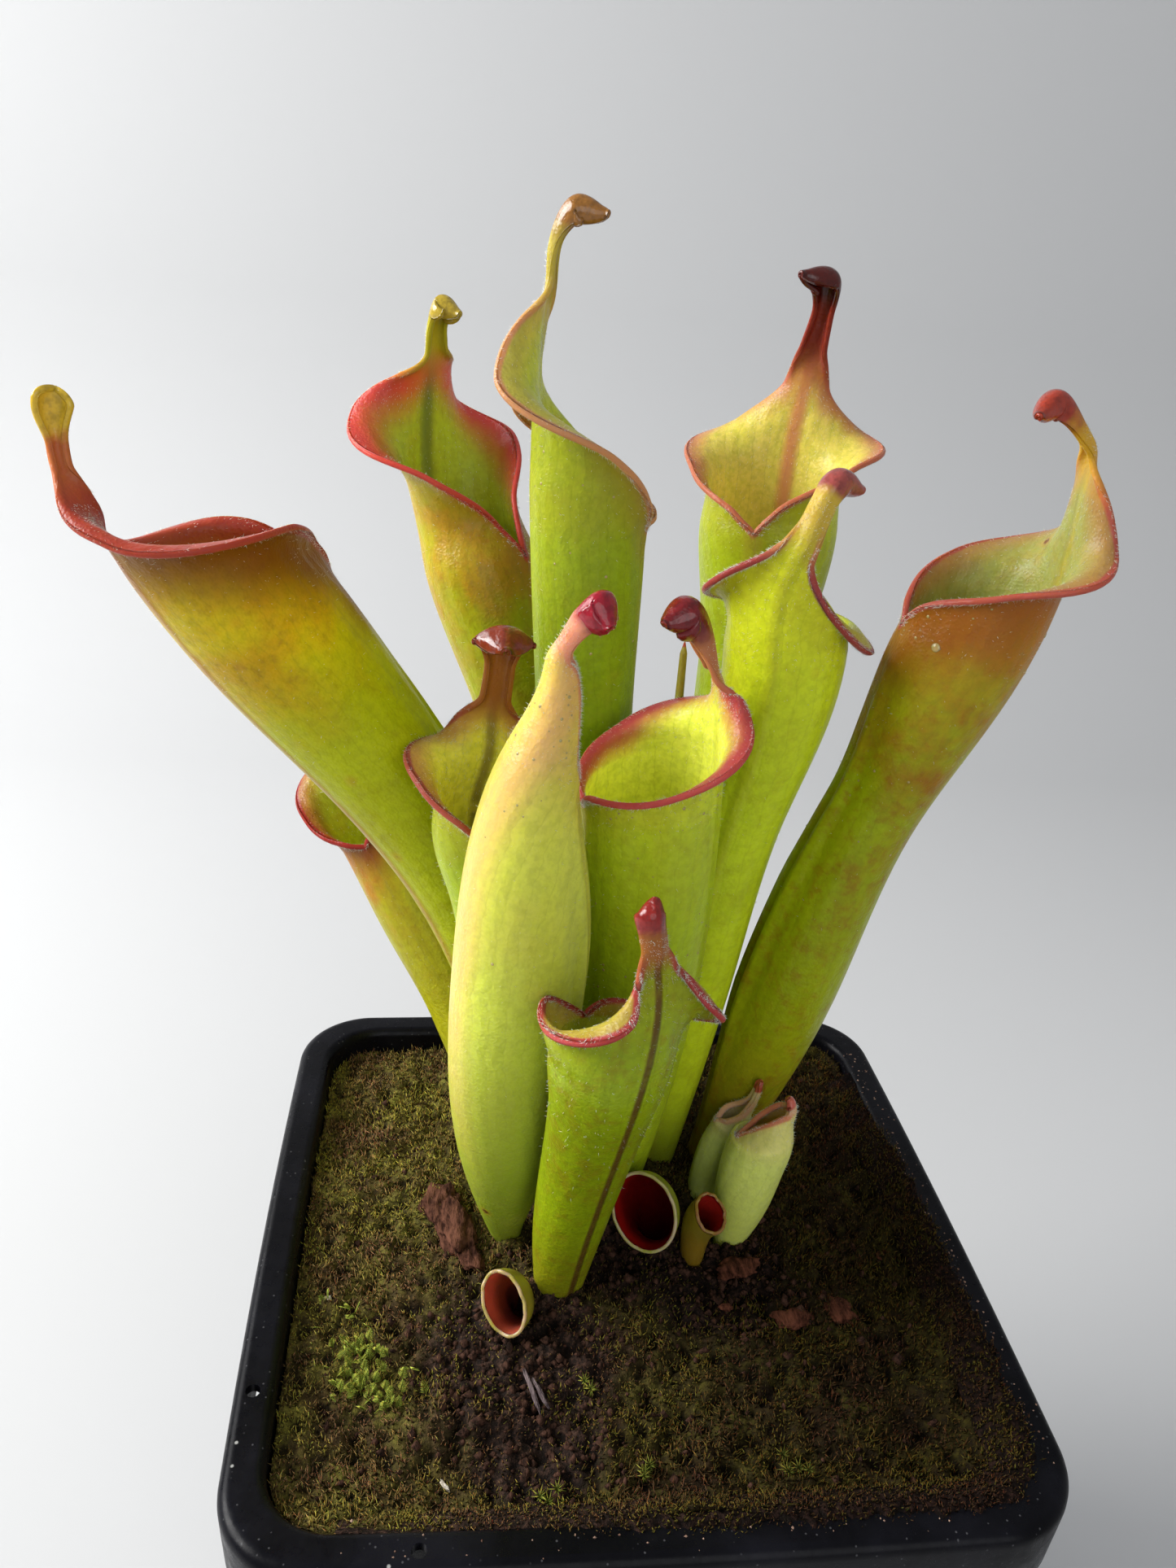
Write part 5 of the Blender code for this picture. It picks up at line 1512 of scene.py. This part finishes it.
def make_soil(tubes):
    """The uneven ground, closed down the pot's inside to just above its floor."""
    count = SOIL_GRID + 1
    steps = np.linspace(-1, 1, count)
    a, b = (v.ravel() for v in np.meshgrid(steps, steps))
    x, y, z, relief = ground(a, b)
    for grid in tubes:
        z = np.where(inside_tube(np.column_stack([x, y, z]), grid), UNDER_TUBES, z)
    points = [np.column_stack([x, y, z])]
    ids = np.arange(count * count).reshape(count, count)
    faces = grid_faces(ids)
    ring = np.concatenate([ids[0, :-1], ids[:-1, -1], ids[-1, :0:-1], ids[:0:-1, 0]])
    above = ring
    # The soil's sections below its edge: height, half width, corner and bulge.
    floor_half = BASE_WIDTH / 2 - POT_WALL - 1.4
    sections = ((60.0, 51.6, 9.6, 0.2), (FLOOR_THICK + 1.6, floor_half, 8.4, 0.0),
                (FLOOR_THICK + 0.5, floor_half - 1.0, 8.0, 0.0))
    for height, half, corner, bulge in sections:
        x_down, y_down = across_pot(a[ring], b[ring], half, corner, bulge)
        start = sum(len(p) for p in points)
        points.append(np.column_stack([x_down, y_down, np.full(len(ring), height)]))
        below = start + np.arange(len(ring))
        faces += np.column_stack([above, below, np.roll(below, -1), np.roll(above, -1)]).tolist()
        above = below
    faces.append(above[::-1])
    mesh = mesh_from("soil_fine", np.vstack(points), faces)
    extra = sum(len(p) for p in points[1:])
    set_fact(mesh, "relief", np.concatenate([relief, np.zeros(extra)]))
    set_fact(mesh, "bare", np.concatenate([bare(x, y), np.zeros(extra)]))
    add_piece("soil_fine", mesh, soil_material(), "soil")


def make_bank():
    """The strip of peat and moss that lies over the inner edge of the rim."""
    outline = rounded_square(SOIL_HALF + 0.6, INNER_CORNER + 0.2, SIDE_BULGE)
    quarter = SIDE_STEPS + CORNER_STEPS
    path = np.vstack([outline[3 * quarter:], outline[:SIDE_STEPS]])
    along = lengths_along(path)
    even = np.linspace(0.0, along[-1], BANK_ROWS)
    path = read_off(even, along, path)
    tangent = unit(np.gradient(path, axis=0))
    outward = np.column_stack([tangent[:, 1], -tangent[:, 0]])
    fade = np.clip(np.minimum(even / BANK_FADES[0], (even[-1] - even) / BANK_FADES[1]), 0.0, 1.0)
    ragged = 1 + 0.45 * ground_noise(path[:, 0], path[:, 1], 0.35, 41.0)
    ragged = ragged + 0.35 * ground_noise(path[:, 0], path[:, 1], 1.1, 43.0)
    width = np.maximum(BANK_WIDTH * fade * ragged, 0.05)
    foot = POT_HEIGHT - 0.4

    def along_strip(share):
        return path + outward * (share * (width + BANK_INSIDE) - BANK_INSIDE)[:, None]

    points = []
    for share in np.linspace(0.0, 1.0, BANK_COLUMNS):
        place = along_strip(share)
        lumps = 1 + 0.6 * ground_noise(place[:, 0], place[:, 1], 0.9, 47.0)
        ridge = BANK_HEIGHT * fade * math.sin(math.pi * share ** 2) * lumps
        inside = BANK_SLOPE * (1 - share) ** 2 + (1 - fade) * 1.5
        points.append(np.column_stack([place, foot + ridge - inside]))
    for share, depth in ((1.0, 0.15), (0.0, BANK_SLOPE + 1.5)):
        points.append(np.column_stack([along_strip(share), np.full(len(path), foot - depth)]))
    rings = np.stack(points, axis=1)
    faces = tube_faces(BANK_ROWS, rings.shape[1])
    mesh = mesh_from("moss_bank", rings.reshape(-1, 3), faces)
    for key, value in (("relief", 0.1), ("bare", 0.5)):
        set_fact(mesh, key, np.full(len(mesh.vertices), value))
    add_piece("moss_bank", mesh, soil_material())
    top = rings[:, :BANK_COLUMNS].reshape(-1, 3)
    return top[np.repeat(fade, BANK_COLUMNS) > 0.15]


def moss_material():
    """Strands that go from dark feet, painted shade deep in the turf, to olive, brown or fresh
    yellow-green tips.
    """
    s = Shader("moss")
    tone, fresh, up = s.fact("tone"), s.fact("fresh"), s.fact("up")
    patch = s.noise(s.place(), 90.0, 3.0, 0.6)
    olive = s.mix(tone, (0.040, 0.033, 0.007), (0.17, 0.155, 0.020))
    brown = s.mix(tone, (0.024, 0.014, 0.007), (0.120, 0.070, 0.030))
    tip = s.mix(s.smooth(patch, 0.40, 0.62), olive, brown)
    tip = s.mix(fresh, tip, s.mix(tone, (0.07, 0.09, 0.010), (0.19, 0.22, 0.030)))
    # Painted shade: each strand darkens towards its foot, deep in the turf.
    foot = s.mix(fresh, (0.010, 0.007, 0.003), (0.05, 0.06, 0.008))
    # The moss's colour carries painted shade at the pot's right and painted light at its back left.
    s.set(Base_Color=s.painted_shading(s.mix(s.smooth(up, 0.0, 0.8), foot, tip)), Roughness=0.6)
    s.set(Specular_IOR_Level=0.06, Subsurface_Weight=0.15, Subsurface_Scale=0.0004)
    return s.material


def make_moss(bank, tubes):
    """Short dense turf over the ground and the bank, as a front and a back piece."""
    rng = np.random.default_rng(11)
    look = moss_material()
    a, b = rng.uniform(-1, 1, (2, MOSS_STRANDS))
    x, y, z, _ = ground(a, b)
    thin = bare(x, y)
    patch = ground_noise(x, y, 0.07, 21.0)
    keep = rng.random(len(x)) > 0.75 * thin
    x, y, z, thin, patch = (v[keep] for v in (x, y, z, thin, patch))
    count = len(x)
    length = rng.uniform(0.9, 2.1, count) * (1 + 0.5 * patch) * (1 - 0.45 * thin)
    combed = 0.35 * ground_noise(x, y, 0.09, 31.0)
    lean = np.column_stack([combed + rng.normal(0, 0.45, count), rng.normal(-0.1, 0.45, count),
                            np.ones(count)])
    width = rng.uniform(0.10, 0.22, count)
    yellow = rng.random(count) < 0.05 + 0.10 * np.clip(patch, 0, 1)
    facts = dict(tone=rng.random(count) ** 1.5, fresh=yellow * rng.uniform(0.1, 0.5, count))
    roots = np.column_stack([x, y, z - 0.25])
    on_bank = rng.integers(0, len(bank), BANK_STRANDS)
    roots[:BANK_STRANDS] = bank[on_bank] + rng.normal(0, 0.12, (BANK_STRANDS, 3)) - (0, 0, 0.1)
    length[:BANK_STRANDS] = rng.uniform(0.5, 1.3, BANK_STRANDS)
    y = roots[:, 1]
    outside = ~np.any([inside_tube(roots, grid) for grid in tubes], axis=0)
    for half, mine in (("front", outside & (y < 0)), ("back", outside & (y >= 0))):
        name = f"moss_turf_{half}"
        part = {key: values[mine] for key, values in facts.items()}
        mesh = spike_mesh(name, roots[mine], (unit(lean) * length[:, None])[mine], width[mine], 12, part)
        add_piece(name, mesh, look)


def make_tufts():
    """Star-shaped shoots and feathery patches of brighter moss."""
    rng = np.random.default_rng(21)
    roots, reach, width, tone = [], [], [], []

    def strand(place, way, wide):
        roots.append(place)
        reach.append(way)
        width.append(wide)
        tone.append(rng.random())

    for (at_x, at_y), shoots in STAR_TUFTS:
        for _ in range(shoots):
            x, y = at_x + rng.normal(0, 1.3), at_y + rng.normal(0, 1.3)
            top = np.array([x, y, soil_height(x, y) + rng.uniform(1.2, 2.2)])
            strand(top - (0, 0, 2.0), np.array([0, 0, 2.2]), 0.2)
            for k in range(STAR_LEAVES):
                turn = STAR_TURN * k
                rise = 0.15 + 0.8 * k / STAR_LEAVES
                way = np.array([math.cos(turn), math.sin(turn), rise]) * rng.uniform(1.1, 1.7)
                strand(top, way, 0.17)
    for (at_x, at_y), spread, shoots in FEATHER_PATCHES:
        for _ in range(shoots):
            x, y = at_x + rng.normal(0, spread), at_y + rng.normal(0, spread * 0.7)
            root = np.array([x, y, soil_height(x, y) + 0.2])
            stem = unit(np.array([rng.normal(0, 0.6), rng.normal(0, 0.6), 1.0])) * rng.uniform(2.0, 3.6)
            strand(root, stem, 0.12)
            across = unit(np.cross(stem, (0, 0, 1.0)) + (0.01, 0, 0))
            for k in range(FEATHER_PAIRS):
                share = 0.3 + 0.08 * k
                for side in (-1, 1):
                    way = unit(across * side + unit(stem) * 0.8) * (1.15 - share) * 1.6
                    strand(root + stem * share, way, 0.10)
    facts = dict(tone=tone, fresh=np.ones(len(tone)))
    mesh = spike_mesh("moss_tufts", np.array(roots), np.array(reach), np.array(width), 22, facts)
    add_piece("moss_tufts", mesh, moss_material())


def litter_material(name, dark, light):
    """Dry fibrous bark."""
    s = Shader(name)
    place = s.place()
    fibres = s.noise(s.stretched(place, (1.0, 0.25, 1.0)), 900.0, 3.0, 0.7)
    s.set(Base_Color=s.mix(s.smooth(fibres, 0.3, 0.7), dark, light), Roughness=0.9)
    s.set(Specular_IOR_Level=0.05, Normal=s.bump(fibres, 0.0006, 1.0))
    return s.material


def lump(made, centre, size, turn, seed):
    """One rough lump, added to the mesh under construction."""
    start = len(made.verts)
    bmesh.ops.create_icosphere(made, subdivisions=4, radius=1.0)
    made.verts.ensure_lookup_table()
    rotation = Matrix.Rotation(math.radians(turn), 3, "Z")
    for vert in made.verts[start:]:
        direction = vert.co.normalized()
        coarse = noise.noise(direction * 1.6 + Vector((seed, 0, 0)))
        fine = noise.noise(direction * 6.0 + Vector((0, seed, 0)))
        shape = direction * (1 + 0.45 * coarse + 0.22 * fine)
        scaled = Vector(shape[i] * size[i] for i in range(3))
        vert.co = (rotation @ scaled + Vector(centre)) * MM


def make_litter():
    """Bark, rusty bits, twigs and pale flakes lying on the ground."""
    looks = {
        "bark": litter_material("bark", (0.016, 0.006, 0.004), (0.125, 0.052, 0.032)),
        "rust": litter_material("rusty litter", (0.020, 0.007, 0.004), (0.130, 0.045, 0.026)),
        "pale": litter_material("pale litter", (0.25, 0.21, 0.16), (0.60, 0.56, 0.48)),
        "twig": litter_material("twig", (0.030, 0.022, 0.024), (0.17, 0.13, 0.13)),
    }
    for kind, lumps in LITTER.items():
        made = bmesh.new()
        for seed, ((x, y), size, turn) in enumerate(lumps):
            height = soil_height(x, y) + 0.6 + 0.3 * size[2]
            lump(made, (x, y, height), size, turn, 3.0 + 7.0 * seed)
        mesh = bpy.data.meshes.new(f"litter_{kind}")
        made.to_mesh(mesh)
        made.free()
        mesh.shade_smooth()
        add_piece(f"litter_{kind}", mesh, looks[kind])


def add_crumb(points, faces, rng, place, size, uneven):
    """A rough eight-sided crumb about a place."""
    start = len(points)
    shape = np.array(CRUMB_CORNERS) * rng.uniform(0.5, 1.0, (6, 1)) * size
    points.extend(shape * rng.uniform(1 - uneven, 1 + uneven, (1, 3)) + place)
    faces.extend([start + i for i in side] for side in CRUMB_SIDES)


def rim_crumbs(rng):
    """Crumbs that lie on the pot's rim, most of them on its right side and the rest at its front."""
    points, faces = [], []
    rim_middle = POT_WIDTH / 2 - FLANGE_WIDTH * 0.55
    for k in range(RIM_CRUMBS):
        along = rng.uniform(-1, 1)
        inward = rng.normal(0.0, 1.3)
        if k % 5:
            x, y = rim_middle + inward, along * 50 - 8 * (1 - along)
        else:
            x, y = along * 52, -rim_middle - inward
        if min(abs(x), abs(y)) > RIM_CORNER_STARTS:
            continue
        size = rng.uniform(0.10, 0.45) ** 1.2
        add_crumb(points, faces, rng, (x, y, POT_HEIGHT - 0.15 + 0.2 * size), size, 0.3)
    return points, faces


def peat_crumbs(rng, tubes):
    """Crumbs that lie on the ground, most of them where the peat is bare."""
    points, faces = [], []
    a, b = rng.uniform(-0.9, 0.9, (2, PEAT_CRUMBS))
    x, y, z, _ = ground(a, b)
    places = np.column_stack([x, y, z])
    within = np.any([inside_tube(places, grid) for grid in tubes], axis=0)
    for place, share, hidden in zip(places, bare(x, y), within):
        if rng.random() > 0.04 + share or hidden:
            continue
        size = rng.uniform(0.25, 1.25) ** 1.5
        add_crumb(points, faces, rng, place + (0, 0, 0.15 * size), size, 0.4)
    return points, faces


def add_crumbs(name, points, faces, dark, light):
    mesh = mesh_from(name + "_crumbs", np.array(points), faces)
    add_piece(name + "_crumbs", mesh, litter_material(name + " crumbs", dark, light))


def make_crumbs(tubes):
    rng = np.random.default_rng(31)
    add_crumbs("rim", *rim_crumbs(rng), (0.10, 0.05, 0.035), (0.42, 0.28, 0.21))
    add_crumbs("peat", *peat_crumbs(rng, tubes), (0.006, 0.004, 0.003), (0.075, 0.036, 0.024))


def make_stage():
    """A plain pale floor that curves up into a backdrop."""
    profile = [(FLOOR_FRONT, 0), (FLOOR_BACK, 0)]
    for angle in np.radians(range(10, 100, 10)):
        profile.append((FLOOR_BACK + FLOOR_ROUND * math.sin(angle), FLOOR_ROUND * (1 - math.cos(angle))))
    profile.append((FLOOR_BACK + FLOOR_ROUND, BACKDROP_TOP))
    points = [(side * STAGE_HALF, y, z) for y, z in profile for side in (-1, 1)]
    mesh = mesh_from("floor", points, grid_faces(np.arange(len(points)).reshape(-1, 2)))
    s = Shader("pale floor")
    s.set(Base_Color=(0.50, 0.505, 0.51), Roughness=0.9)
    mesh.materials.append(s.material)
    floor = bpy.data.objects.new("floor", mesh)
    bpy.context.scene.collection.objects.link(floor)


def area_light(name, place, target, size, power, colour):
    lamp = bpy.data.lights.new(name, "AREA")
    lamp.shape = "DISK"
    lamp.size = size
    lamp.energy = power
    lamp.color = colour
    thing = bpy.data.objects.new(name, lamp)
    bpy.context.scene.collection.objects.link(thing)
    thing.location = place
    direction = Vector(target) - Vector(place)
    thing.rotation_euler = direction.to_track_quat("-Z", "Y").to_euler()


def make_lights():
    """A big soft light at the left, one behind it, a weak fill, and colours without a film look."""
    middle = (0.0, 0.0, 0.18)
    area_light("main", (-0.80, 0.08, 0.66), middle, 0.6, 15.0, (1.0, 0.99, 0.97))
    area_light("fill", (0.15, -0.95, 0.55), middle, 0.9, 3.8, (0.97, 0.98, 1.0))
    area_light("back", (-0.70, 0.50, 0.60), middle, 0.5, 3.0, (1.0, 1.0, 1.0))
    world = bpy.data.worlds.new("surroundings")
    world.use_nodes = True
    world.node_tree.nodes["Background"].inputs["Color"].default_value = (0.94, 0.96, 1.0, 1.0)
    world.node_tree.nodes["Background"].inputs["Strength"].default_value = 0.42
    bpy.context.scene.world = world
    bpy.context.scene.view_settings.view_transform = "Standard"


def make_camera():
    heading = math.radians(CAMERA_HEADING)
    pitch = math.radians(CAMERA_PITCH)
    roll = math.radians(CAMERA_ROLL)
    forward = Vector((math.cos(heading) * math.cos(pitch), math.sin(heading) * math.cos(pitch),
                      math.sin(pitch)))
    level = Vector((math.sin(heading), -math.cos(heading), 0.0))
    upright = level.cross(forward)
    right = level * math.cos(roll) + upright * math.sin(roll)
    up = right.cross(forward)
    camera = bpy.data.cameras.new("camera")
    camera.sensor_width = SENSOR
    camera.lens = FOCAL_PIXELS / PHOTO_HEIGHT * SENSOR
    camera.clip_start = 0.01
    thing = bpy.data.objects.new("camera", camera)
    bpy.context.scene.collection.objects.link(thing)
    turn = Matrix((right, up, -forward)).transposed()
    thing.matrix_world = Matrix.Translation(Vector(CAMERA_AT) * MM) @ turn.to_4x4()
    bpy.context.scene.camera = thing


make_camera()
make_stage()
make_lights()
make_pot()
sheets = make_leaves()
make_spike()
tubes = [sheets[name][0] for name in (*JUVENILE, *YOUNG)]
make_soil(tubes)
make_litter()
make_crumbs(tubes)
make_tufts()
make_moss(make_bank(), tubes)
make_beads(sheets)
make_hairs(sheets)
